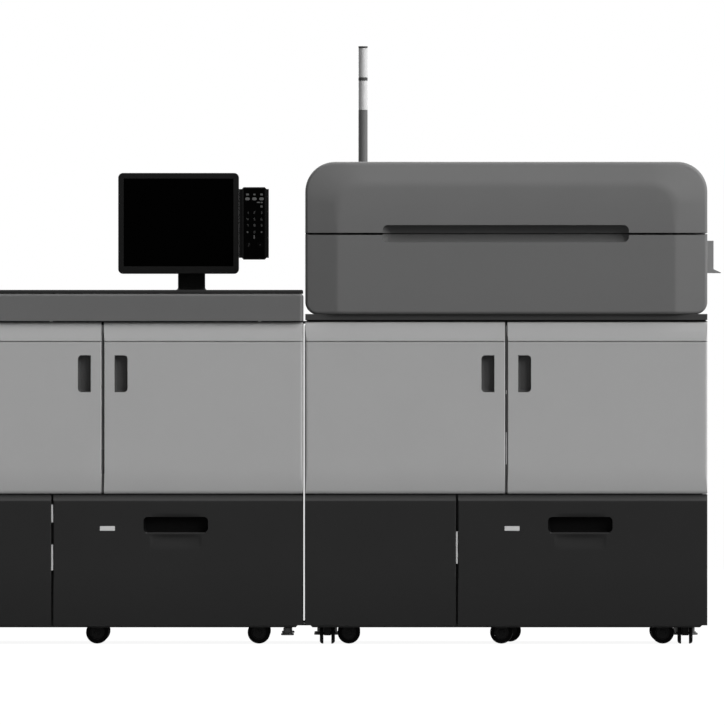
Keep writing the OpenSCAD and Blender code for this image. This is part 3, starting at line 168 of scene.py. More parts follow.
FINISH = {
    "door": finish("door_paint", 150, grain=0.25, vary=0.015, rough_vary=0.04, specular=0.25),
    "cover": finish("cover_paint", 146, grain=0.3, vary=0.02),
    "base": finish("base_paint", 32, grain=0.3, vary=0.03, specular=0.08),
    # Lighter paint for the lower panels' top strip: a painted highlight where the rounded top edge catches
    # light
    "top_strip_highlight": finish("top_strip_painted_highlight", 50, grain=0.3, vary=0.03, specular=0.08),
    "hood": finish("hood_paint", 95, 0.48, grain=0.22, vary=0.015, rough_vary=0.04, specular=0.08),
    "hood_in": finish("hood_inside", 62, 0.6, grain=0.3),
    "counter": finish("counter_paint", 92, grain=0.3, vary=0.02, specular=0.08),
    "mat": finish("counter_mat", 27, 0.8, grain=0.8, grain_scale=500, vary=0.1, specular=0.2),
    "frame": finish("frame_paint", 62, 0.55, grain=0.4, vary=0.06, specular=0.12),
    "zinc": finish("zinc_plate", 168, 0.44, metallic=0.7, grain=0.06, grain_scale=260, vary=0.06,
                   vary_scale=14, tint=(176, 178, 172)),
    "case": finish("case_plastic", 150, grain=0.3, vary=0.04),
    # Dark grey lining of the door finger recesses: partly its own plastic, partly painted recess shade
    "cup": finish("door_cup_plastic_and_shade", 66, 0.55, grain=0.5, grain_scale=700, vary=0.03, specular=0.15),
    # Black plastic for the unit caps; in the drawer handle cups its blackness is partly painted recess shade
    "black_cup": finish("black_plastic_and_recess_shade", 9, 0.6, grain=0.5, grain_scale=700, specular=0.02),
    "label": finish("label_film", 180, 0.35, vary=0.02, vary_scale=40),
    "tray": finish("tray_steel", 140, 0.4, metallic=0.35, grain=0.2),
    "pole": finish("pole_plastic", 92, 0.35, vary=0.02, specular=0.15),
    "lens": finish("beacon_lens", 176, 0.3, vary=0.02, vary_scale=30, specular=0.25, coat=0.1),
    "ring": finish("beacon_ring", 62, 0.4, vary=0.03, specular=0.15),
    "bracket": finish("bracket_paint", 120, 0.45, grain=0.25, vary=0.03, specular=0.15),
    "monitor": finish("monitor_plastic", 17, 0.42, grain=0.5, grain_scale=1200, specular=0.05),
    "screen": finish("screen_glass", 1, 0.16, vary=0.02, specular=0.003),
    "membrane": finish("membrane_film", 1.5, 0.4, grain=0.3, grain_scale=1500, specular=0.01),
    "print": finish("key_print", 62, 0.6, vary=0.1, vary_scale=60),
    "key_lit": finish("oval_key", 68, 0.4, vary=0.08, vary_scale=60),
    "key": finish("key_gloss", 4, 0.25, vary=0.1, vary_scale=50, specular=0.015),
    "caster": finish("caster_plastic", 18, 0.45, grain=0.4, vary=0.06, specular=0.08),
    "tyre": finish("tyre_rubber", 7, 0.62, grain=0.6, grain_scale=700, vary=0.1, specular=0.04),
    "hub": finish("hub_plastic", 24, 0.4, grain=0.3, vary=0.06, specular=0.08),
    "foot": finish("foot_steel", 58, 0.45, metallic=0.2, grain=0.2, vary=0.08),
    "unit": finish("unit_plastic", 58, grain=0.5, grain_scale=600, vary=0.04),
    "belt": finish("belt_film", 22, 0.25, vary=0.1, vary_scale=20, coat=0.2, stretch=(1, 12, 1)),
    "drum": finish("drum_coating", (34, 104, 88), 0.16, coat=0.7, stretch=(1, 8, 1), vary=0.04),
    "rubber": finish("roller_rubber", 34, vary=0.08, grain=0.3, stretch=(1, 10, 1)),
    "red_rubber": finish("pressure_rubber", (150, 74, 48), vary=0.06, grain=0.3, stretch=(1, 10, 1)),
    "toner": finish("bottle_plastic", 56, 0.4, grain=0.3),
    "inlet": finish("inlet_plastic", 20, 0.45, grain=0.4, vary=0.06),
    "green_grip": finish("green_grip", (44, 128, 84), 0.45, grain=0.4),
    "dark": finish("seal_rubber", 16, 0.8, grain=0.5, vary=0.1, specular=0.1),
    # Darker than the hood's grey: the plinth's paint holds painted shade from the hood's overhang
    "plinth": finish("plinth_painted_shade", 57, 0.55, grain=0.3, vary=0.03, specular=0.06),
    "seal": finish("seal_strip", 92, 0.7, grain=0.4, specular=0.1),
    "light": finish("light_plate", 172, 0.4, grain=0.2, vary=0.03, vary_scale=40, specular=0.3),
    "screw": finish("screw_head", 120, 0.3, metallic=0.9, vary=0.08, vary_scale=60, rough_vary=0.12),
    "stand": finish("stand_plastic", 17, grain=0.5, specular=0.04),
    "key_mark": finish("key_mark", 44, vary=0.1, vary_scale=80, specular=0.05),
    # Darker than the hood's grey: painted shade inside the grip slot's scoop
    "slot": finish("slot_painted_shade", 70, 0.55, grain=0.3, vary=0.02, specular=0.08),
}


# Outlines

def inset(points, d):
    """The closed outline moved inwards by d. Its points run counter-clockwise."""
    out = []
    n = len(points)
    for i in range(n):
        p = Vector(points[i])
        a = (p - Vector(points[i - 1])).normalized()
        b = (Vector(points[(i + 1) % n]) - p).normalized()
        na = Vector((-a.y, a.x))
        nb = Vector((-b.y, b.x))
        out.append(tuple(p + (na + nb) * (d / max(0.25, 1 + na.dot(nb)))))
    return out


def rounded(u0, v0, u1, v1, r, n=8):
    """Rectangle with rounded corners, counter-clockwise. r is one radius or four, from the lower left."""
    r = (r,) * 4 if isinstance(r, (int, float)) else r
    corners = (
        (u0 + r[0], v0 + r[0], 180),
        (u1 - r[1], v0 + r[1], 270),
        (u1 - r[2], v1 - r[2], 0),
        (u0 + r[3], v1 - r[3], 90),
    )
    out = []
    for (cu, cv, start), q in zip(corners, r):
        for k in range(n + 1 if q else 1):
            a = math.radians(start + 90 * k / n)
            out.append((cu + q * math.cos(a), cv + q * math.sin(a)))
    return out


def circle(u, v, r, n=48):
    """Points round a centre, counter-clockwise."""
    turns = [2 * math.pi * k / n for k in range(n)]
    return [(u + r * math.cos(t), v + r * math.sin(t)) for t in turns]


def quarter(n):
    """Angles from nothing to a right angle, in n steps."""
    return [math.radians(90 * k / n) for k in range(n + 1)]


def dense(points, step):
    """The closed outline with its long edges split."""
    out = []
    for i, p in enumerate(points):
        q = points[(i + 1) % len(points)]
        n = max(1, round(math.dist(p, q) / step))
        out += [(p[0] + (q[0] - p[0]) * k / n, p[1] + (q[1] - p[1]) * k / n) for k in range(n)]
    return out


def steps(*spans):
    """Places from spans of (start, end, step), in order and without repeats."""
    out = []
    for a, b, d in spans:
        n = max(1, round((b - a) / d))
        out += [a + (b - a) * k / n for k in range(n + 1)]
    return [v for i, v in enumerate(out) if i == 0 or v > out[i - 1] + 0.01]


def smooth(t):
    """0 up to t = 0, 1 from t = 1, and a soft rise between."""
    t = min(1.0, max(0.0, t))
    return t * t * (3 - 2 * t)


def place(points, axis, at):
    """Points of an outline put on the plane across an axis."""
    if axis == "x":
        return [Vector((at, u, v)) for u, v in points]
    if axis == "y":
        return [Vector((u, at, v)) for u, v in points]
    return [Vector((u, v, at)) for u, v in points]


# Meshes

def stack(rings, hollow=False, bm=None):
    """Closed skin through rings of equal count. A hollow one runs back to its first ring."""
    bm = bm or bmesh.new()
    loops = [[bm.verts.new(p) for p in ring] for ring in rings]
    n = len(loops[0])
    for a, b in zip(loops, loops[1:] + (loops[:1] if hollow else [])):
        for i in range(n):
            bm.faces.new((a[i], a[(i + 1) % n], b[(i + 1) % n], b[i]))
    if not hollow:
        bm.faces.new(loops[0])
        bm.faces.new(loops[-1])
    return bm


def prism(outline, axis, a0, a1, r0=0.0, r1=0.0, seg=4, bm=None):
    """Outline drawn out along an axis, its rims rounded by r0 and r1."""
    levels = []
    for t in quarter(seg) if r0 else [0.0]:
        levels.append((r0 * (1 - math.sin(t)), a0 + r0 * (1 - math.cos(t))))
    for t in quarter(seg) if r1 else [0.0]:
        levels.append((r1 * (1 - math.cos(t)), a1 - r1 * (1 - math.sin(t))))
    return stack([place(inset(outline, d) if d else outline, axis, a) for d, a in levels], bm=bm)


def block(lo, hi, r=1.0, seg=3, bm=None):
    """Box with all its edges rounded."""
    bm = bm or bmesh.new()
    made = bmesh.ops.create_cube(bm, size=1.0)["verts"]
    for v in made:
        v.co = Vector([(l + h) / 2 + c * (h - l) for l, h, c in zip(Vector(lo), Vector(hi), v.co)])
    if r:
        edges = {e for v in made for e in v.link_edges}
        bmesh.ops.bevel(bm, geom=list(edges), offset=r, segments=seg, profile=0.5, affect="EDGES",
                        clamp_overlap=True)
    return bm


def lathe(profile, axis, centre, n=64, hollow=False, bm=None):
    """Profile of (radius, place along the axis) turned round the axis at centre."""
    least = 0.001
    rings = [place(circle(*centre, max(r, least), n), axis, a) for r, a in profile]
    return stack(rings, hollow, bm)


def cad(node):
    """A welded copy of a node's solids, in millimetres."""
    bm = bmesh.new()
    bm.from_mesh(nodes[node].data)
    bm.transform(Matrix.Scale(1000.0, 4))
    bmesh.ops.remove_doubles(bm, verts=bm.verts, dist=0.004)
    return bm


def combine(a, b, how="DIFFERENCE"):
    """Boolean of two meshes, as a new mesh."""
    holders = []
    for bm in (a, b):
        bmesh.ops.recalc_face_normals(bm, faces=bm.faces)
        me = bpy.data.meshes.new("temp")
        bm.to_mesh(me)
        bm.free()
        o = bpy.data.objects.new("temp", me)
        scene.collection.objects.link(o)
        holders.append(o)
    mod = holders[0].modifiers.new("cut", "BOOLEAN")
    mod.operation = how
    mod.object = holders[1]
    mod.solver = "EXACT"
    dg = bpy.context.evaluated_depsgraph_get()
    made = bpy.data.meshes.new_from_object(holders[0].evaluated_get(dg))
    out = bmesh.new()
    out.from_mesh(made)
    bpy.data.meshes.remove(made)
    for o in holders:
        me = o.data
        bpy.data.objects.remove(o)
        bpy.data.meshes.remove(me)
    bmesh.ops.remove_doubles(out, verts=out.verts, dist=0.002)
    return out


def within(node, form):
    """The part of a node's solids that lies inside a form."""
    return combine(cad(node), form, "INTERSECT")


def crossed(profile, plan, x0, x1, z0, z1):
    """The form that has this side outline and this plan."""
    across = prism(profile, "x", x0 - PAST, x1 + PAST)
    upright = prism(plan, "z", z0 - PAST, z1 + PAST)
    return combine(across, upright, "INTERSECT")


def score(bm, axis, *places):
    """Adds edges where planes across an axis cut the mesh, so that flat faces shade flat."""
    normal = Vector([float(axis == a) for a in "xyz"])
    for at in places:
        bmesh.ops.bisect_plane(bm, geom=bm.verts[:] + bm.edges[:] + bm.faces[:], plane_co=normal * at,
                               plane_no=normal)


def relief(xs, zs, depth, back):
    """Solid slab whose front is a grid of X and Z places, each at the Y that depth gives."""
    bm = bmesh.new()
    grid = [[bm.verts.new((x, depth(x, z), z)) for x in xs] for z in zs]
    for a, b in zip(grid, grid[1:]):
        for i in range(len(xs) - 1):
            bm.faces.new((a[i], a[i + 1], b[i + 1], b[i]))
    right = [row[-1] for row in grid[1:]]
    left = [row[0] for row in grid[-2:0:-1]]
    rim = grid[0] + right + grid[-1][-2::-1] + left
    far = [bm.verts.new((v.co.x, back, v.co.z)) for v in rim]
    n = len(rim)
    for i in range(n):
        bm.faces.new((rim[(i + 1) % n], rim[i], far[i], far[(i + 1) % n]))
    bm.faces.new(far)
    return bm


def face_outline(node, d, r, n=8):
    """Rounded outline of a node seen from the front, d inside its box."""
    lo, hi = mmbox(node)
    return rounded(lo.x + d, lo.z + d, hi.x - d, hi.z - d, r, n)


# Pieces

def piece(name, bm, keys, body="press", stands_for=None, sharp=32):
    """Makes an object of the mesh, right side out, with weighted normals, riding on a body.

    keys names its finish or finishes. Edges of sharp degrees or more stay hard. stands_for is the CAD
    node that the object replaces.
    """
    bmesh.ops.dissolve_degenerate(bm, edges=bm.edges, dist=0.002)
    bmesh.ops.recalc_face_normals(bm, faces=bm.faces)
    if bm.calc_volume(signed=True) < 0:
        bmesh.ops.reverse_faces(bm, faces=bm.faces)
    for e in bm.edges:
        e.smooth = len(e.link_faces) == 2 and e.calc_face_angle(0) < math.radians(sharp)
    for f in bm.faces:
        f.smooth = True
    bm.transform(Matrix.Scale(0.001, 4))
    me = bpy.data.meshes.new(name)
    bm.to_mesh(me)
    bm.free()
    for key in keys if isinstance(keys, tuple) else (keys,):
        me.materials.append(FINISH[key])
    o = bpy.data.objects.new(name, me)
    scene.collection.objects.link(o)
    mod = o.modifiers.new("normals", "WEIGHTED_NORMAL")
    mod.keep_sharp = True
    mod.weight = 90
    dg = bpy.context.evaluated_depsgraph_get()
    made = bpy.data.meshes.new_from_object(o.evaluated_get(dg))
    o.modifiers.clear()
    o.data = made
    bpy.data.meshes.remove(me)
    made.name = name
    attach(o, body)
    if stands_for:
        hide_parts(stands_for)


def soften(node, key, r):
    """The node's own shape with its hard edges rounded by r."""
    flat, hard = math.radians(0.5), math.radians(40)
    bm = cad(node)
    bmesh.ops.dissolve_limit(bm, angle_limit=flat, verts=bm.verts[:], edges=bm.edges[:])
    edges = [e for e in bm.edges if len(e.link_faces) == 2 and e.calc_face_angle(0) > hard]
    bmesh.ops.bevel(bm, geom=edges, offset=r, segments=2, profile=0.5, affect="EDGES", clamp_overlap=True)
    piece(node + "_skin", bm, key, nodes[node]["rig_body"], node, sharp=40)


def dress(key, *names):
    """A better material on CAD nodes whose shape is right."""
    for name in names:
        me = nodes[name].data
        me.materials.clear()
        me.materials.append(FINISH[key])
        me.polygons.foreach_set("use_smooth", [True] * len(me.polygons))
        me.set_sharp_from_angle(angle=math.radians(30))


def cup(name, outline, levels, bottom, r, key, body):
    """Lining of a recess. Levels of (inset, y) lead over its rim, and the bottom is rounded by r."""
    wall = levels[-1][0]
    levels = levels + [(wall + r * (1 - math.cos(t)), bottom + r * math.sin(t)) for t in quarter(5)]
    piece(name, stack([place(inset(outline, d), "y", y) for d, y in levels]), key, body)


# Doors, each with 1 where it hangs at its left edge and -1 where it hangs at its right edge

DOORS = {
    "left_module_left_door": 1,
    "left_module_right_door": -1,
    "right_module_left_door": 1,
    "right_module_right_door": -1,
}
BAND = 63
FOOT = 84


def door_profile(front, back, z0, z1):
    """A door's side outline: a foot that curves back, a groove, a leaning band and a rounded top."""
    foot_fall, edge_fall, edge_height = 5, 3, 9
    foot_steps, foot_power = 21, 1.6
    groove_depth, groove_height = 5, 3.2
    band_step, band_steps = 4, 14
    profile = [(back, z0 + GAP)]
    for k in range(foot_steps + 1):
        h = FOOT * (k / foot_steps) ** foot_power
        fall = foot_fall * (1 - h / FOOT) ** 2 + edge_fall * max(0.0, 1 - h / edge_height) ** 2
        profile.append((front + fall, z0 + GAP + h))
    foot_of_band = z1 - BAND
    profile += [
        (front, foot_of_band - groove_height - 0.1),
        (front + groove_depth, foot_of_band - groove_height),
        (front + groove_depth, foot_of_band),
        (front, foot_of_band + 0.1),
    ]
    lean = 0.0
    for k in range(band_steps):
        h = band_step * (k + 1)
        lean += band_step * (0.07 + 0.08 * min(1.0, h / 20) + 0.09 * smooth((h - 25) / 18))
        profile.append((front + lean, foot_of_band + h))
    top = front + lean
    profile += [(top + 2.2, z1 - 4.0), (top + 4.2, z1 - 1.4), (top + 6.5, z1 - GAP), (back, z1 - GAP)]
    return profile[::-1]


def door(node, side):
    """A door's skin, and the dark cup in its finger recess, whose dark grey is partly its own plastic and
    partly painted shade.
    """
    lo, hi = mmbox(node)
    x0, x1, z0, z1 = lo.x, hi.x, lo.z, hi.z
    front, back = lo.y + GAP, hi.y + PAST
    hinge_edge, free_edge = (10, 4.5), (2.0, 2.0)
    left, right = (hinge_edge, free_edge) if side > 0 else (free_edge, hinge_edge)
    plan = []
    for x, (w, d), way in ((x0 + GAP, left, 1), (x1 - GAP, right, -1)):
        rim = [(x + way * w * (1 - math.cos(t)), front + d * (1 - math.sin(t))) for t in quarter(6)]
        plan += rim[::way]
    plan += [(x1 - GAP, back), (x0 + GAP, back)]
    made = within(node, crossed(door_profile(front, back, z0, z1), plan, x0, x1, z0, z1))
    from_edge, width, large, small = 35, 43, 12, 0.6
    cup_x0 = x1 - from_edge - width if side > 0 else x0 + from_edge
    cup_x1 = cup_x0 + width
    cup_z0, cup_z1 = z0 + 334, z0 + 456
    radii = (large, small, small, large) if side > 0 else (small, large, large, small)
    score(made, "x", x0 + 14, x1 - 14, cup_x0 - 4, cup_x1 + 4, (x0 + x1) / 2)
    score(made, "z", z0 + FOOT + 4, cup_z0 - 4, cup_z1 + 4, z1 - BAND - 6)
    piece(node + "_skin", made, "door", node, node)
    fit = 0.2
    y = lo.y
    levels = [(0.0, y + 23.7), (0.0, y + 0.9), (0.5, y + 0.5), (1.2, y + 0.5), (1.6, y + 0.9), (1.8, y + 2.0)]
    outline = rounded(cup_x0 + fit, cup_z0 + fit, cup_x1 - fit, cup_z1 - fit, radii)
    # The cup's dark grey is partly painted shade of the recess
    cup(node + "_cup", outline, levels, y + 15.5, 7.0, "cup", node)


def seams():
    """Seals, sills and light plates that show in the seams between doors and covers."""
    wall_y, seal_y, sill_y = -540.2, -579, -566
    door_z0, door_z1 = 500, 1050
    half_seal, sill_from_side = 2.2, 30
    for side, x0, x1 in (("left", LEFT_X0, LEFT_X1), ("right", RIGHT_X0, RIGHT_X1)):
        mid = (x0 + x1) / 2
        strip = block((mid - half_seal, seal_y, door_z0), (mid + half_seal, wall_y, door_z1), 0.8)
        piece(side + "_centre_seal", strip, "seal")
        sill = block((x0 + sill_from_side, sill_y, 493.4), (x1 - sill_from_side, wall_y, 495.6), 0.5)
        piece(side + "_sill", sill, "seal")
    x = (RIGHT_X0 + RIGHT_X1) / 2
    latch_back = -578.8
    latches = block((x - 1.9, -580.4, 592), (x + 1.9, latch_back, 698), 0.4)
    block((x - 2.0, -581, 824), (x + 2.0, latch_back, 836), 0.5, bm=latches)
    piece("latch_plates", latches, "light")
    for side, spans in (("left", ((401, 460), (242, 328))), ("right", ((265, 371),))):
        x = mmbox(side + "_drawer_front")[0].x
        plates = bmesh.new()
        for z0, z1 in spans:
            block((x - 3.1, -580, z0), (x + 2.9, -577, z1), 0.5, bm=plates)
        piece(side + "_seam_plates", plates, "light")
    strip = block((RIGHT_X0 - 2.1, -536, 74), (RIGHT_X0 - 0.2, -500, door_z1), 0.3)
    piece("docking_seal", strip, "seal")


# Hood, a lid and a body with blended facets, a rounded rim and a scooped grip slot

HOOD_FRONT = mmbox("hood_body")[0].y
HOOD_BACK = mmbox("hood_body")[1].y
HOOD_FOOT, HOOD_TOP = 1087, 1590
SPLIT = 1352.7
FACET_WIDTH, FACET_HEIGHT = 106, 74
SIDE_FALL, TOP_FALL = 22, 18
SLOT_X0, SLOT_X1 = RIGHT_X0 + 255, RIGHT_X0 + 1067
SLOT_Z0, SLOT_Z1 = 1324.2, 1381.2
SLOT_R = 18


def hood_depth(x, z):
    """How far the hood's front lies behind its foremost plane."""
    across = RIGHT_X0 + FACET_WIDTH - x if x < (RIGHT_X0 + RIGHT_X1) / 2 else x - RIGHT_X1 + FACET_WIDTH
    up = z - HOOD_TOP + FACET_HEIGHT
    turn = 0.9
    pa = max(0.0, across / FACET_WIDTH + turn)
    pb = max(0.0, up / FACET_HEIGHT + turn)
    u = math.hypot(pa, pb) - turn
    fall = (SIDE_FALL * pa * pa + TOP_FALL * pb * pb) / (pa * pa + pb * pb) if pa + pb > 0 else 0.0
    # The turn into the facets is tight at the parting line and softer above it
    tight, softer, rise = 0.05, 0.13, 110
    w = tight + softer * smooth((z - SPLIT) / rise)
    lean = 0.0 if u < -w else (u + w) ** 2 / (4 * w) if u < w else u
    low_bow, high_bow = 5.0, 8.0
    t = (z - SPLIT) / (HOOD_TOP - FACET_HEIGHT - SPLIT)
    if t < 0:
        bow = low_bow * ((SPLIT - z) / (SPLIT - HOOD_FOOT)) ** 2
    else:
        bow = high_bow * (t * t if t < 1 else 2 * t - 1)
    return fall * lean + bow


def hood_form():
    """The hood's outside as one smooth closed form."""
    x0, x1 = RIGHT_X0, RIGHT_X1
    margin, facet, far = 8, 78, 176
    # The grid is fine where the facets turn and where the grip slot ends
    xs = steps((x0 - margin, x0 + facet, 14), (x0 + facet, x0 + far, 4), (x0 + far, x0 + 235, 20),
               (x0 + 235, x0 + 285, 5), (x0 + 285, x1 - 289, 82), (x1 - 289, x1 - 239, 5),
               (x1 - 239, x1 - far, 20), (x1 - far, x1 - facet, 4), (x1 - facet, x1 + margin, 14))
    zs = steps((HOOD_FOOT - 10, 1310, 22), (1310, 1324, 4), (1324, 1382, 10), (1382, 1396, 4),
               (1396, 1450, 18), (1450, 1546, 4), (1546, HOOD_TOP + margin, 13))
    front = relief(xs, zs, lambda x, z: HOOD_FRONT + GAP + hood_depth(x, z), HOOD_BACK + 40)
    bmesh.ops.triangulate(front, faces=front.faces[:])
    lower_r, upper_r, rim_r = 40, 99, 10
    outline = dense(rounded(x0, HOOD_FOOT, x1, HOOD_TOP, (lower_r, lower_r, upper_r, upper_r), n=16), 12)
    # Each level is an inset, a Y and whether it follows the front's depth
    levels = [(3.15, HOOD_BACK - GAP, 0), (1.0, HOOD_BACK - 0.8, 0), (GAP, HOOD_BACK - 3.0, 0)]
    rim_front = HOOD_FRONT + GAP - 0.05
    for t in reversed(quarter(6)):
        levels.append((GAP + rim_r * (1 - math.sin(t)), rim_front + rim_r * (1 - math.cos(t)), 1))
    levels.append((GAP + rim_r + 7, HOOD_FRONT - 40, 0))
    rings = []
    for d, y, follows in levels:
        rings.append([Vector((x, y + follows * hood_depth(x, z), z)) for x, z in inset(outline, d)])
    return combine(front, stack(rings), "INTERSECT")


def hood():
    """The lid, the fixed body, the plinth and seal under it, and the shields behind the lid."""
    form = hood_form()
    x0, x1 = RIGHT_X0 - 9, RIGHT_X1 + 9
    over = block((x0, HOOD_FRONT - 9, SPLIT + 2.9), (x1, HOOD_BACK + 9, HOOD_TOP + 9), 0)
    lid = within("hood_lid", combine(form.copy(), over, "INTERSECT"))
    piece("hood_lid_skin", lid, "hood", "hood_lid", "hood_lid", sharp=24)
    cut = block((x0, HOOD_FRONT - 9, SPLIT - 4.4), (x1, HOOD_FRONT + 30, SPLIT), 0)
    body = combine(within("hood_body", form), cut)
    piece("hood_body_skin", body, "hood", "press", "hood_body", sharp=24)
    plinth_z, seal_z = 1068.2, 1064.9
    # The plinth's darker paint is painted shade under the hood's overhang
    plinth = block((RIGHT_X0 + GAP, HOOD_FRONT + 20 + GAP, plinth_z),
                   (RIGHT_X1 - GAP, HOOD_BACK - GAP, HOOD_FOOT + 1.0), 0.8)
    piece("hood_plinth", within("hood_body", plinth), "plinth")
    seal = block((RIGHT_X0 + 5, HOOD_FRONT + 29, seal_z), (RIGHT_X1 - 5, HOOD_BACK - 9, plinth_z + 0.1), 0)
    piece("hood_seal", within("hood_body", seal), "dark")
    shields = bmesh.new()
    for x in (RIGHT_X0 + 40, RIGHT_X1 - 43):
        block((x, HOOD_BACK - 348, SPLIT + 5), (x + 3, HOOD_BACK - 334.6, HOOD_TOP - 30), 0.5, bm=shields)
    piece("hood_gap_shields", shields, "hood_in")


def slot_depth(x, z):
    """Y of the grip slot's concave inside."""
    rim_width, end_length = 26, 64
    rim_depth, slope, end_scoop, middle_scoop = 0.9, 9.0, 6.0, 14
    px = max(SLOT_X0 + SLOT_R - x, x - SLOT_X1 + SLOT_R)
    pz = max(SLOT_Z0 + SLOT_R - z, z - SLOT_Z1 + SLOT_R)
    inside = SLOT_R - math.hypot(max(px, 0), max(pz, 0)) - min(0.0, max(px, pz))
    e = min(1.0, max(0.0, inside / rim_width))
    end = min(1.0, max(0.0, min(x - SLOT_X0, SLOT_X1 - x) / end_length))
    scoop = end_scoop + middle_scoop * math.sqrt(1 - (1 - end) ** 2)
    return HOOD_FRONT + hood_depth(x, z) + rim_depth + slope * e + math.sqrt(1 - (1 - e) ** 2) * scoop


def slot_scoop(name, z0, z1, body):
    """Half of the grip slot's concave inside, in a paint darker than the hood's that is painted shade."""
    x0, x1 = SLOT_X0, SLOT_X1
    xs = steps((x0, x0 + 6, 0.75), (x0 + 6, x0 + 66, 3), (x0 + 66, x1 - 66, 60), (x1 - 66, x1 - 6, 3),
               (x1 - 6, x1, 0.75))
    if z0 < SPLIT - 5:
        zs = steps((z0, z0 + 4, 0.5), (z0 + 4, z1, 2))
    else:
        zs = steps((z0, z1 - 4, 2), (z1 - 4, z1, 0.5))
    form = relief(xs, zs, slot_depth, HOOD_FRONT + 39.8)
    outline = rounded(x0 + GAP, SLOT_Z0 + GAP, x1 - GAP, SLOT_Z1 - GAP, SLOT_R, n=12)
    hole = prism(outline, "y", HOOD_FRONT - 5, HOOD_FRONT + 60)
    # The slot finish is darker than the hood's: painted shade in the scoop
    piece(name, combine(form, hole, "INTERSECT"), "slot", body, sharp=40)


# Lower covers and drawer fronts

HANDLE_Z0, HANDLE_Z1 = 368, 419
HANDLE_HALF = 106.5
FOOT_BOW, FOOT_BOW_HEIGHT = 12, 190
HOLLOW_HALF, LIP_HALF, LIP = 84, 98.28, 3.8
UPPER_HOLLOW, UPPER_HOLLOW_HEIGHT, LOWER_HOLLOW = 4.2, 15, 4.6


def lower_skin(name, x0, x1, node, body, handle_x=None, stands_for=None):
    """Lower panel with rounded edges, shallow hollows above and below its handle recess, and a painted
    highlight on its top strip.
    """
    lo, hi = mmbox(node)
    y0, z0, z1 = lo.y, lo.z, hi.z
    y, back = y0 + GAP, hi.y + 20

    def depth(x, z):
        low = max(0.0, 1 - (z - z0) / FOOT_BOW_HEIGHT)
        bowed = y + FOOT_BOW * low * low
        if handle_x is None:
            return bowed
        u = (x - handle_x) / HOLLOW_HALF
        wide = max(0.0, 1 - u * u) ** 0.5
        if z > (HANDLE_Z0 + HANDLE_Z1) / 2:
            above = max(0.0, z - HANDLE_Z1) / UPPER_HOLLOW_HEIGHT
            return bowed + UPPER_HOLLOW * wide * max(0.0, 1 - above) ** 2
        t = max(0.0, HANDLE_Z0 - z)
        lip = max(0.0, LIP - t) if abs(x - handle_x) < LIP_HALF else 0.0
        return bowed + max(lip, LOWER_HOLLOW * wide * smooth((t - 3.6) / 16) * (1 - smooth((t - 19) / 42)))

    mid, fine = ((x0 + x1) / 2, 60) if handle_x is None else (handle_x, 4)
    margin, reach = 8, 104
    xs = steps((x0 - margin, mid - reach, 90), (mid - reach, mid + reach, fine),
               (mid + reach, x1 + margin, 90))
    zs = steps((z0 - margin, HANDLE_Z0 - 62, 18), (HANDLE_Z0 - 62, HANDLE_Z0 - 16, 4),
               (HANDLE_Z0 - 16, HANDLE_Z0, 1), (HANDLE_Z0, HANDLE_Z1, 17), (HANDLE_Z1, HANDLE_Z1 + 16, 2),
               (HANDLE_Z1 + 16, z1 + margin, 20))
    front = relief(xs, zs, depth, back)
    foot = [(y + 14, z0 + GAP), (y + 12.6, z0 + 0.8), (y + 11.6, z0 + 2.0), (y - 3, z0 + 9.0)]
    strip = [(y - 3, z1 - 30), (y, z1 - 22), (y + 0.5, z1 - 20.5), (y + 1.6, z1 - 18.8),
             (y + 8.6, z1 - 9.5), (y + 10, z1 - 6.5), (y + 10.6, z1 - 2.0), (y + 12, z1 - GAP)]
    profile = [(back + PAST, z0 + GAP)] + foot + strip + [(back + PAST, z1 - GAP)]
    plan = rounded(x0 + GAP, y, x1 - GAP, back + PAST, (3.0, 3.0, 0, 0), n=7)
    shell = crossed(profile[::-1], plan, x0, x1, z0, z1)
    made = within(node, combine(front, shell, "INTERSECT"))
    score(made, "z", z1 - 26, z0 + 6)
    score(made, "x", x0 + 6, x1 - 6)
    made.normal_update()
    # Forward-facing faces of the top strip get the lighter paint, a painted highlight
    for f in made.faces:
        f.material_index = int(f.calc_center_median().z > z1 - 20 and f.normal.y < -0.2)
    piece(name, made, ("base", "top_strip_highlight"), body, stands_for, sharp=28)


def lower_panels():
    """The fixed covers, and the drawer fronts with their handle cups and blank labels."""
    cover_gap, front_gap = 3.2, 3.8
    starts = {side: mmbox(side + "_drawer_front")[0].x for side in ("left", "right")}
    for side, x0 in (("left", LEFT_X0), ("right", RIGHT_X0)):
        lower_skin("lower_cover_" + side, x0, starts[side] - cover_gap, "lower_covers", "press",
                   stands_for="lower_covers" if side == "left" else None)
    for side in ("left", "right"):
        node, body = side + "_drawer_front", side + "_drawer"
        lo, hi = mmbox(node)
        x, y = (lo.x + hi.x) / 2 - 6.0, lo.y
        lower_skin(node + "_skin", lo.x + front_gap, hi.x, node, body, x, node)
        fit = 0.2
        outline = rounded(x - HANDLE_HALF + fit, HANDLE_Z0 + fit, x + HANDLE_HALF - fit, HANDLE_Z1 - fit,
                          13.8)
        levels = [(0.0, y + 27.7), (0.0, y + 4.8), (0.5, y + 4.2), (1.1, y + 4.2), (1.5, y + 4.8),
                  (1.6, y + 6.6)]
        # The black lining is partly its own plastic and partly painted shade of the recess
        cup(node + "_cup", outline, levels, y + 20, 6.0, "black_cup", body)
        x = lo.x + 182
        label = block((x - 24.6, y + 0.35, 373.4), (x + 24.6, y + 1.5, 388.6), 0.3)
        piece(node + "_label", label, "label", body)


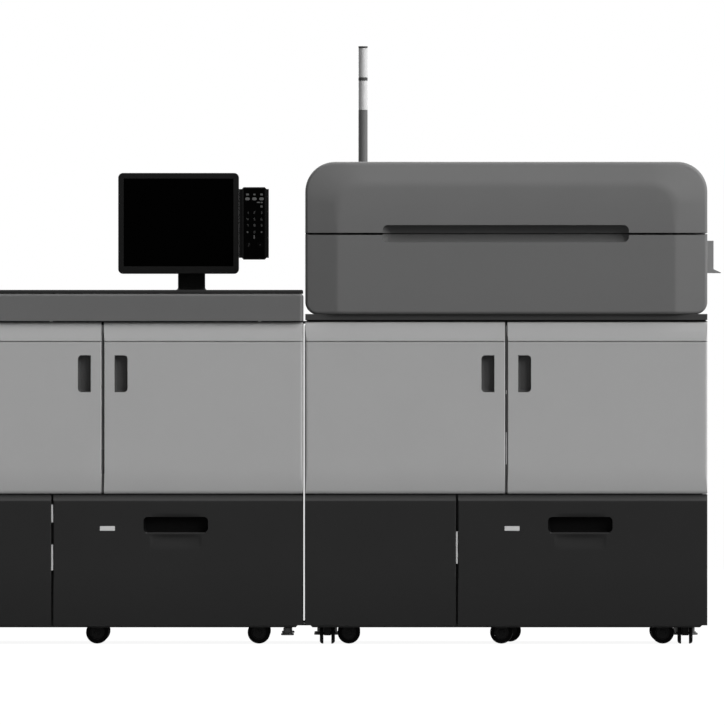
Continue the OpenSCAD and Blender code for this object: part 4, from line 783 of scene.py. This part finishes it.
def counter():
    """The counter's body, its dark mat and the two pads under its front."""
    lo, hi = mmbox("counter_top")
    top = hi.z - 10.8
    set_back, rim_r = 11, 11
    body = block((lo.x + GAP, lo.y + set_back, lo.z - 14), (hi.x - GAP, hi.y - GAP, top), rim_r, 7)
    piece("counter_body", within("counter_top", body), "counter", "press", "counter_top")
    edge = 1.2
    slab = block((lo.x + edge, lo.y + set_back + 1.6, top - 0.1), (hi.x - edge, hi.y - edge, hi.z - GAP), 1.6)
    piece("counter_mat", within("counter_top", slab), "mat")
    pads = bmesh.new()
    for x in (-859.8, -172.3):
        block((x - 5, -584, 1062.6), (x + 5, -560, 1065), 0.4, bm=pads)
    piece("counter_pads", pads, "light")


# Monitor, keypad and stand

# Strokes of the numbers 0 to 9, and each stroke's place in half widths and quarter heights
STROKES = ("abcdef", "bc", "abged", "abgcd", "fgbc", "afgcd", "afgedc", "abc", "abcdefg", "abcdfg")
STROKE_PLACES = {"a": (0, 2), "g": (0, 0), "d": (0, -2), "f": (-1, 1), "b": (1, 1), "e": (-1, -1),
                 "c": (1, -1)}
PRINT_BEHIND, PRINT_RISE = 0.1, 0.05


def digit(n, x, z, y, bm):
    """Plain number of up to seven straight strokes on a front face."""
    w, h, t = 4.0, 7.0, 1.0
    for k in STROKES[n]:
        u, v = STROKE_PLACES[k][0] * w / 2, STROKE_PLACES[k][1] * h / 4
        a, b = ((w - t) / 2, t / 2) if k in "agd" else (t / 2, h / 4 - 0.1)
        block((x + u - a, y - PRINT_BEHIND, z + v - b), (x + u + a, y + PRINT_RISE, z + v + b), 0, bm=bm)


def dot(x, z, w, h, y, bm, r=None):
    """Rounded mark on a front face, with half circles as its short sides if r is not given."""
    r = min(w, h) / 2 - 0.05 if r is None else r
    outline = rounded(x - w / 2, z - h / 2, x + w / 2, z + h / 2, r, n=5)
    prism(outline, "y", y - PRINT_BEHIND, y + PRINT_RISE, bm=bm)


def monitor():
    """The monitor's shell with vents and screw holes in its back, and its glass."""
    lo, hi = mmbox("monitor_housing")
    back = lo.y + 36
    shell = prism(face_outline("monitor_housing", GAP, 15.9), "y", lo.y + GAP, back - GAP, 2.5, 9.0, 5)
    lug = block((lo.x + 150, back - 14, lo.z + 60), (hi.x - 60, hi.y + 5, hi.z - 60), 0)
    vent_from_side, vent_pitch, vent_width, vent_height, vent_count = 60, 13, 4, 16, 22
    holes = bmesh.new()
    for z in (1522, 1500):
        for k in range(vent_count):
            x = lo.x + vent_from_side + vent_pitch * k
            vent = rounded(x, z, x + vent_width, z + vent_height, 1.9, n=3)
            prism(vent, "y", back - 3, back + 1, bm=holes)
    screw_in = 20
    for z in (lo.z + screw_in, hi.z - screw_in):
        for x in (lo.x + screw_in, hi.x - screw_in):
            prism(circle(x, z, 4, 20), "y", back - 6, back + 1, bm=holes)
    made = combine(within("monitor_housing", combine(shell, lug, "UNION")), holes)
    piece("monitor_shell", made, "monitor", "monitor_head", "monitor_housing")
    lo, hi = mmbox("monitor_screen")
    glass = prism(face_outline("monitor_screen", 0.4, 1.5, 3), "y", lo.y + 0.2, hi.y - 0.1, 0.4, 0)
    piece("monitor_glass", glass, "screen", "monitor_head", "monitor_screen")


def keypad():
    """The keypad's housing and membrane, its printed numbers and marks, and the two keys that travel."""
    soften("keypad_housing", "monitor", 0.9)
    soften("keypad_membrane", "membrane", 0.15)
    y = mmbox("keypad_membrane")[0].y
    columns = (-213.3, -190.5, -167.1)
    rows = (1423.1, 1401.3, 1380.8)
    last_row, oval_row, top_row, light_row = 1358.7, 1468.4, 1482.9, 1456.5
    bm = bmesh.new()
    for row, z in enumerate(rows):
        for k, x in enumerate(columns):
            digit(3 * row + k + 1, x, z, y, bm)
    digit(0, columns[1], last_row, y, bm)
    marks = (
        (columns[0], last_row, 5, 5), (columns[2], last_row, 5, 5),
        (-177.5, light_row, 10, 4), (-166.5, light_row, 7, 4),
        (-167.1, 1443.3, 7, 7), (-191.2, 1342.5, 4, 12),
        (columns[0], top_row, 9, 6), (columns[1], top_row, 7, 5), (columns[2], top_row, 9, 6),
    )
    for x, z, w, h in marks:
        dot(x, z, w, h, y, bm, 1.0)
    piece("keypad_print", bm, "print", "monitor_head")
    bm = bmesh.new()
    for x in columns:
        dot(x, oval_row, 15, 9.5, y, bm)
    piece("keypad_ovals", bm, "key_lit", "monitor_head")
    start_mark = ((0, 0, 4, 4),)
    stop_mark = ((2.5, 2.6, 5, 4), (0.5, -3.4, 4, 3.4))
    for node, marks in (("start_key", start_mark), ("stop_key", stop_mark)):
        lo, hi = mmbox(node)
        x, y, z = (lo.x + hi.x) / 2, lo.y, (lo.z + hi.z) / 2
        dished = [(8.6, hi.y - 0.1), (8.9, y + 1.0), (8.6, y + 0.5), (7.6, y + 0.3), (4.0, y + 0.45),
                  (0, y + 0.5)]
        piece(node + "_cap", lathe(dished, "y", (x, z)), "key", node, node)
        bm = bmesh.new()
        for u, v, w, h in marks:
            dot(x + u, z + v, w, h, y + 0.36, bm, 0.9)
        piece(node + "_mark", bm, "key_mark", node)


def stand():
    """Neck with a flared foot, the ring at its top and the yoke."""
    lo, hi = mmbox("monitor_stand")
    x, y, z = (lo.x + hi.x) / 2, (lo.y + hi.y) / 2, lo.z
    flare, corner_r = 5, 11.5
    half_w = (hi.x - lo.x) / 2 - flare
    half_d = (hi.y - lo.y) / 2 - flare
    foot = ((4.7, 0.1), (4.9, 0.4), (4.8, 1.2), (3.2, 1.9), (1.8, 3.2), (0.9, 4.8), (0.3, 6.6), (-0.15, 7.9))
    top = ((-0.15, 130.6), (-0.6, 131.5), (-1.6, 131.9))
    rings = []
    for e, h in foot + top:
        outline = rounded(x - half_w - e, y - half_d - e, x + half_w + e, y + half_d + e, corner_r + e * 0.2)
        rings.append(place(outline, "z", z + h))
    piece("stand_neck", stack(rings), "stand", "press", "monitor_stand")
    ring = [(19, z + 131.7), (19, z + 132), (15.9, z + 132), (15.9, z + 131.7)]
    piece("stand_ring", lathe(ring, "z", (x, y), 32, True), "dark")
    soften("monitor_yoke", "stand", 1.0)


def beacon():
    """The pole, the two ribbed lenses and the caps, and the side bracket."""
    lo, hi = mmbox("beacon_pole")
    x, y = (lo.x + hi.x) / 2, (lo.y + hi.y) / 2
    r = (hi.x - lo.x) / 2 - GAP
    tube = lathe([(r - 1, lo.z - 5), (r, lo.z + 1), (r, hi.z - 1), (r - 1, hi.z + 5)], "z", (x, y))
    piece("pole_tube", within("beacon_pole", tube), "pole", "press", "beacon_pole")
    lo, hi = mmbox("beacon_lenses")
    r = (hi.x - lo.x) / 2 - GAP
    lens_height, ribs, rim, rib_depth = 98, 24, 1.6, 0.5
    rib_pitch = (lens_height - 2 * rim) / ribs
    lenses = bmesh.new()
    for a, b in ((lo.z, lo.z + lens_height), (hi.z - lens_height, hi.z)):
        profile = [(r - 1.2, a + GAP), (r - 0.3, a + 0.6), (r, a + rim)]
        profile += [(r - rib_depth * (k % 2), a + rim + rib_pitch * k) for k in range(1, ribs)]
        profile += [(r, b - rim), (r - 0.3, b - 0.6), (r - 1.2, b - GAP)]
        lathe(profile, "z", (x, y), bm=lenses)
    piece("beacon_lens_skin", within("beacon_lenses", lenses), "lens",
          stands_for="beacon_lenses", sharp=60)
    soften("beacon_cap", "ring", 0.7)
    soften("side_bracket", "bracket", 0.8)


# Casters and feet

WHEEL_LINES = ("left_outer", "left_middle", "left_inner", "right_inner", "right_middle_front",
               "right_middle_rear", "right_outer")
WHEEL_R = 37.5
ROW_Y = 400


def wheels():
    """Twin tyres and ribbed hubs for each line of casters, which has one caster or two."""
    gap_half, outer_half = 14, 34
    tread_r, corner, bore_r = 31.35, 6, 24.2
    hub_side = [(6.3, 1.6), (9.5, 1.6), (10.5, 3.4), (20.5, 3.4), (21.8, 0.6), (24.1, 0.5)]
    sweep = quarter(6)
    for line in WHEEL_LINES:
        node = line + "_wheels"
        lo, hi = mmbox(node)
        centre = ((lo.x + hi.x) / 2, WHEEL_R)
        tyres, hubs = bmesh.new(), bmesh.new()
        casters = [-ROW_Y, ROW_Y] if hi.y > 0 > lo.y else [(lo.y + hi.y) / 2]
        for y in casters:
            for a, b in ((y - outer_half, y - gap_half), (y + gap_half, y + outer_half)):
                near = [(tread_r + corner * math.sin(t), a + GAP + corner * (1 - math.cos(t))) for t in sweep]
                far = [(tread_r + corner * math.cos(t), b - GAP - corner * (1 - math.sin(t))) for t in sweep]
                tread = [(bore_r, a + GAP)] + near + far + [(bore_r, b - GAP)]
                lathe(tread, "y", centre, 48, True, tyres)
                hub = [(r, a + d) for r, d in hub_side] + [(r, b - d) for r, d in hub_side[::-1]]
                lathe(hub, "y", centre, 48, True, hubs)
            axle = [(5.6, y - 33.9), (6.1, y - 33.4), (6.1, y + 33.4), (5.6, y + 33.9)]
            lathe(axle, "y", centre, 24, bm=hubs)
        piece(node + "_tyres", tyres, "tyre", node, node)
        piece(node + "_hubs", hubs, "hub", node)


def feet():
    """Levelling feet: a pad, a stem above it and a thread."""
    thread_z, thread_r, thread_depth, half_pitch = 59, 5.85, 0.55, 1.25
    for side, pad_d, stem_d in (("left", 43, 28), ("right", 86, 66)):
        node = side + "_levelling_feet"
        lo, hi = mmbox(node)
        stem, pad = stem_d / 2 - GAP, pad_d / 2 - GAP
        profile = [(pad - 1.4, 28.1), (pad, 29.4), (pad, 33.6), (pad - 1.6, 35.4), (stem + 0.8, 35.8),
                   (stem, 36.8), (stem, 51.6), (stem - 1.0, 53.4), (thread_r, 53.9)]
        profile += [(thread_r - thread_depth * (k % 2), thread_z + half_pitch * k) for k in range(25)]
        bm = bmesh.new()
        for x in (lo.x + pad_d / 2, hi.x - pad_d / 2):
            for y in (lo.y + pad_d / 2, hi.y - pad_d / 2):
                lathe(profile, "z", (x, y), 48, bm=bm)
        piece(node + "_skin", within(node, bm), "foot", node, node, sharp=50)


# Outer covers, and fittings on the units behind the doors

def screw(x, y, z, axis, way, bm, r=4.0):
    """Domed screw head with a round recess, standing out of a face along an axis."""
    heads = [(r * 0.25, 1.0), (r * 0.3, 1.55), (r * 0.62, 1.6), (r * 0.92, 1.0), (r, 0.2), (r, -0.3)]
    at, centre = {"x": (x, (y, z)), "y": (y, (x, z))}[axis]
    lathe([(a, at + way * h) for a, h in heads], axis, centre, 20, bm=bm)


def covers():
    """Rear covers with a groove round their vents, end covers with a joint line, and their screws."""
    screws = bmesh.new()
    for side, way in (("left", -1), ("right", 1)):
        node = side + "_rear_cover"
        lo, hi = mmbox(node)
        form = prism(face_outline(node, GAP, 6.0, 5), "y", lo.y - PAST, hi.y - 1.9, 0, 2.2, 3)
        groove_in, groove_width, out, deep = 34, 4, hi.y + 1, hi.y - 3.4
        outer = face_outline(node, groove_in, 14, 4)
        inner = inset(outer, groove_width)
        section = ((outer, out), (outer, deep), (inner, deep), (inner, out))
        groove = stack([place(ring, "y", at) for ring, at in section], True)
        piece(node + "_skin", combine(within(node, form), groove), "cover", "press", node)
        screw_in = 17
        for x in (lo.x + screw_in, (lo.x + hi.x) / 2, hi.x - screw_in):
            for z in (lo.z + screw_in, (lo.z + hi.z) / 2, hi.z - screw_in):
                screw(x, hi.y - 2.0, z, "y", 1, screws)
        node = side + "_end_cover"
        lo, hi = mmbox(node)
        outline = rounded(lo.y + GAP, lo.z + GAP, hi.y - GAP, hi.z - GAP, 8.0, n=5)
        rim_r = 2.6
        if way < 0:
            form = prism(outline, "x", lo.x + GAP, hi.x + PAST, rim_r, 0)
        else:
            form = prism(outline, "x", lo.x - PAST, hi.x - GAP, 0, rim_r)
        face = lo.x if way < 0 else hi.x
        joint_z, joint_depth, joint_half = 495, 2.2, 1.6
        joint = block((face - joint_depth, lo.y - 9, joint_z - joint_half),
                      (face + joint_depth, hi.y + 9, joint_z + joint_half), 0)
        piece(node + "_skin", combine(within(node, form), joint), "cover", "press", node)
        for y in (lo.y + 22, 0.0, hi.y - 22):
            for z in (lo.z + 24, hi.z - 24):
                screw(face - way * 1.7, y, z, "x", way, screws)
    piece("cover_screws", screws, "screw", sharp=40)


UNIT_X, UNIT_PITCH = 280.5, 240
SOFTENED = (
    ("unit", "unit_grey", 1.6, "developer_units"),
    ("zinc", "zinc_steel", 0.8, "fuser_frame"),
    ("case", "case_grey", 1.6, "electronics_boxes"),
    ("tray", "tray_steel", 0.7, "left_drawer_tray", "right_drawer_tray"),
    ("zinc", "zinc_steel", 0.6, "left_lift_plate", "right_lift_plate"),
    ("caster", "caster_black", 0.8, "left_stabiliser_fork", "right_stabiliser_fork", "caster_housings"),
    ("inlet", "inlet_black", 0.4, "mains_inlet"),
    ("toner", "toner_grey", 1.8, "toner_bottles"),
)


def machine():
    """Plates, grips, caps and screws on the units behind the doors, and the units themselves."""
    grips, plates, caps, screws = bmesh.new(), bmesh.new(), bmesh.new(), bmesh.new()
    y = mmbox("developer_units")[0].y - 6.0
    knob = [(20, y - 2.9), (20, y - 8), (18.5, y - 9.5), (6, y - 9.5), (5, y - 8.5), (0, y - 8.5)]
    for k in range(4):
        x = UNIT_X + UNIT_PITCH * k
        block((x - 84, y - 3, 880), (x + 84, y - 0.1, 992), 2.0, bm=plates)
        block((x - 34, y - 26, 902), (x + 34, y - 20, 924), 3.0, bm=grips)
        for u in (-26, 26):
            block((x + u - 5, y - 21, 905), (x + u + 5, y - 2.5, 921), 2.0, bm=grips)
            screw(x + u * 2.8, y - 3, 984, "y", -1, screws, 5.0)
        lathe(knob, "y", (x, 955), 40, bm=caps)
    lo, hi = mmbox("fuser_frame")
    x, y = (lo.x + hi.x) / 2, lo.y
    for u in (-96, 96):
        for z in (520, 905):
            screw(x + u, y, z, "y", -1, screws, 6.0)
    block((x - 88, y - 4, 560), (x + 88, y - 0.1, 640), 3.0, bm=plates)
    block((x - 50, y - 30, 590), (x + 50, y - 22, 612), 3.5, bm=grips)
    for u in (-42, 42):
        block((x + u - 6, y - 23, 593), (x + u + 6, y - 3.5, 609), 2.0, bm=grips)
    piece("unit_grips", grips, "green_grip")
    piece("unit_plates", plates, "unit")
    piece("unit_caps", caps, "black_cup")
    lo, hi = mmbox("electronics_boxes")
    edge, box_width = 14, 500
    for x in (lo.x + edge, lo.x + box_width - edge, hi.x - box_width + edge, hi.x - edge):
        for z in (510, 882):
            screw(x, lo.y, z, "y", -1, screws, 4.5)
    piece("unit_screws", screws, "screw", sharp=40)
    for key, slot, r, *units in SOFTENED:
        for node in units:
            soften(node, key, r)


# Floor, background and light

def seen_directly(tree):
    """1 for what the camera, a reflection or a clear piece shows, and 0 for light that falls on things."""
    path = add_node(tree, "LightPath")
    seen = path.outputs["Is Camera Ray"]
    for ray in ("Is Glossy Ray", "Is Transmission Ray"):
        either = add_node(tree, "Math", links={0: seen, 1: path.outputs[ray]})
        either.operation = "MAXIMUM"
        seen = either.outputs[0]
    return seen


def stage_plane():
    """Floor that looks nearly white to the camera, keeps a shadow and throws little light back."""
    half_size, glow_share = 40.0, 0.92
    bm = bmesh.new()
    bmesh.ops.create_grid(bm, x_segments=1, y_segments=1, size=half_size)
    me = bpy.data.meshes.new("floor")
    bm.to_mesh(me)
    bm.free()
    o = bpy.data.objects.new("floor", me)
    scene.collection.objects.link(o)
    mat = bpy.data.materials.new("floor_white")
    mat.use_nodes = True
    tree = mat.node_tree
    tree.nodes.remove(tree.nodes["Principled BSDF"])
    seen = seen_directly(tree)
    tone = add_node(tree, "MapRange", {"To Min": 0.15, "To Max": 0.8}, {"Value": seen})
    lit = add_node(tree, "BsdfDiffuse", links={"Color": tone.outputs["Result"]})
    share = add_node(tree, "Math", {1: glow_share}, {0: seen})
    share.operation = "MULTIPLY"
    white = add_node(tree, "Emission")
    both = add_node(tree, "MixShader", links={0: share.outputs[0], 1: lit.outputs[0], 2: white.outputs[0]})
    tree.links.new(both.outputs[0], tree.nodes["Material Output"].inputs["Surface"])
    me.materials.append(mat)


def studio():
    """White background that lights the object only a little."""
    world = bpy.data.worlds.new("studio")
    scene.world = world
    world.use_nodes = True
    tree = world.node_tree
    background = tree.nodes["Background"]
    background.inputs["Color"].default_value = (1, 1, 1, 1)
    level = add_node(tree, "MapRange", {"To Min": 0.22, "To Max": 1.0}, {"Value": seen_directly(tree)})
    tree.links.new(level.outputs["Result"], background.inputs["Strength"])


def sun(name, azimuth, elevation, strength, spread):
    """Sun that shines from an azimuth right of the front and an elevation."""
    light = bpy.data.lights.new(name, "SUN")
    light.energy = strength
    light.angle = math.radians(spread)
    o = bpy.data.objects.new(name, light)
    scene.collection.objects.link(o)
    a, e = math.radians(azimuth), math.radians(elevation)
    away = Vector((math.sin(a) * math.cos(e), -math.cos(a) * math.cos(e), math.sin(e)))
    o.rotation_mode = "QUATERNION"
    o.rotation_quaternion = away.to_track_quat("Z", "Y")


# Everything is made in this order

camera()
for name, side in DOORS.items():
    door(name, side)
seams()
hood()
slot_scoop("slot_lower", SLOT_Z0, SPLIT - 1.5, "press")
slot_scoop("slot_upper", SPLIT + 1.5, SLOT_Z1, "hood_lid")
lower_panels()
counter()
monitor()
keypad()
stand()
beacon()
wheels()
feet()
covers()
machine()

dress("frame", "left_frame", "right_frame")
dress("zinc", "drawer_runners", "door_hinges")
dress("belt", "transfer_unit")
dress("tyre", "left_stabiliser_wheels", "right_stabiliser_wheels")
dress("rubber", "hot_roller")
dress("red_rubber", "pressure_roller")
dress("drum", "black_drum", "cyan_drum", "magenta_drum", "yellow_drum")

stage_plane()
studio()
sun("key", azimuth=66, elevation=40, strength=6.5, spread=60)
sun("fill", azimuth=-15, elevation=10, strength=0.15, spread=60)
sun("back", azimuth=192, elevation=35, strength=2.8, spread=70)

scene.view_settings.view_transform = "Standard"
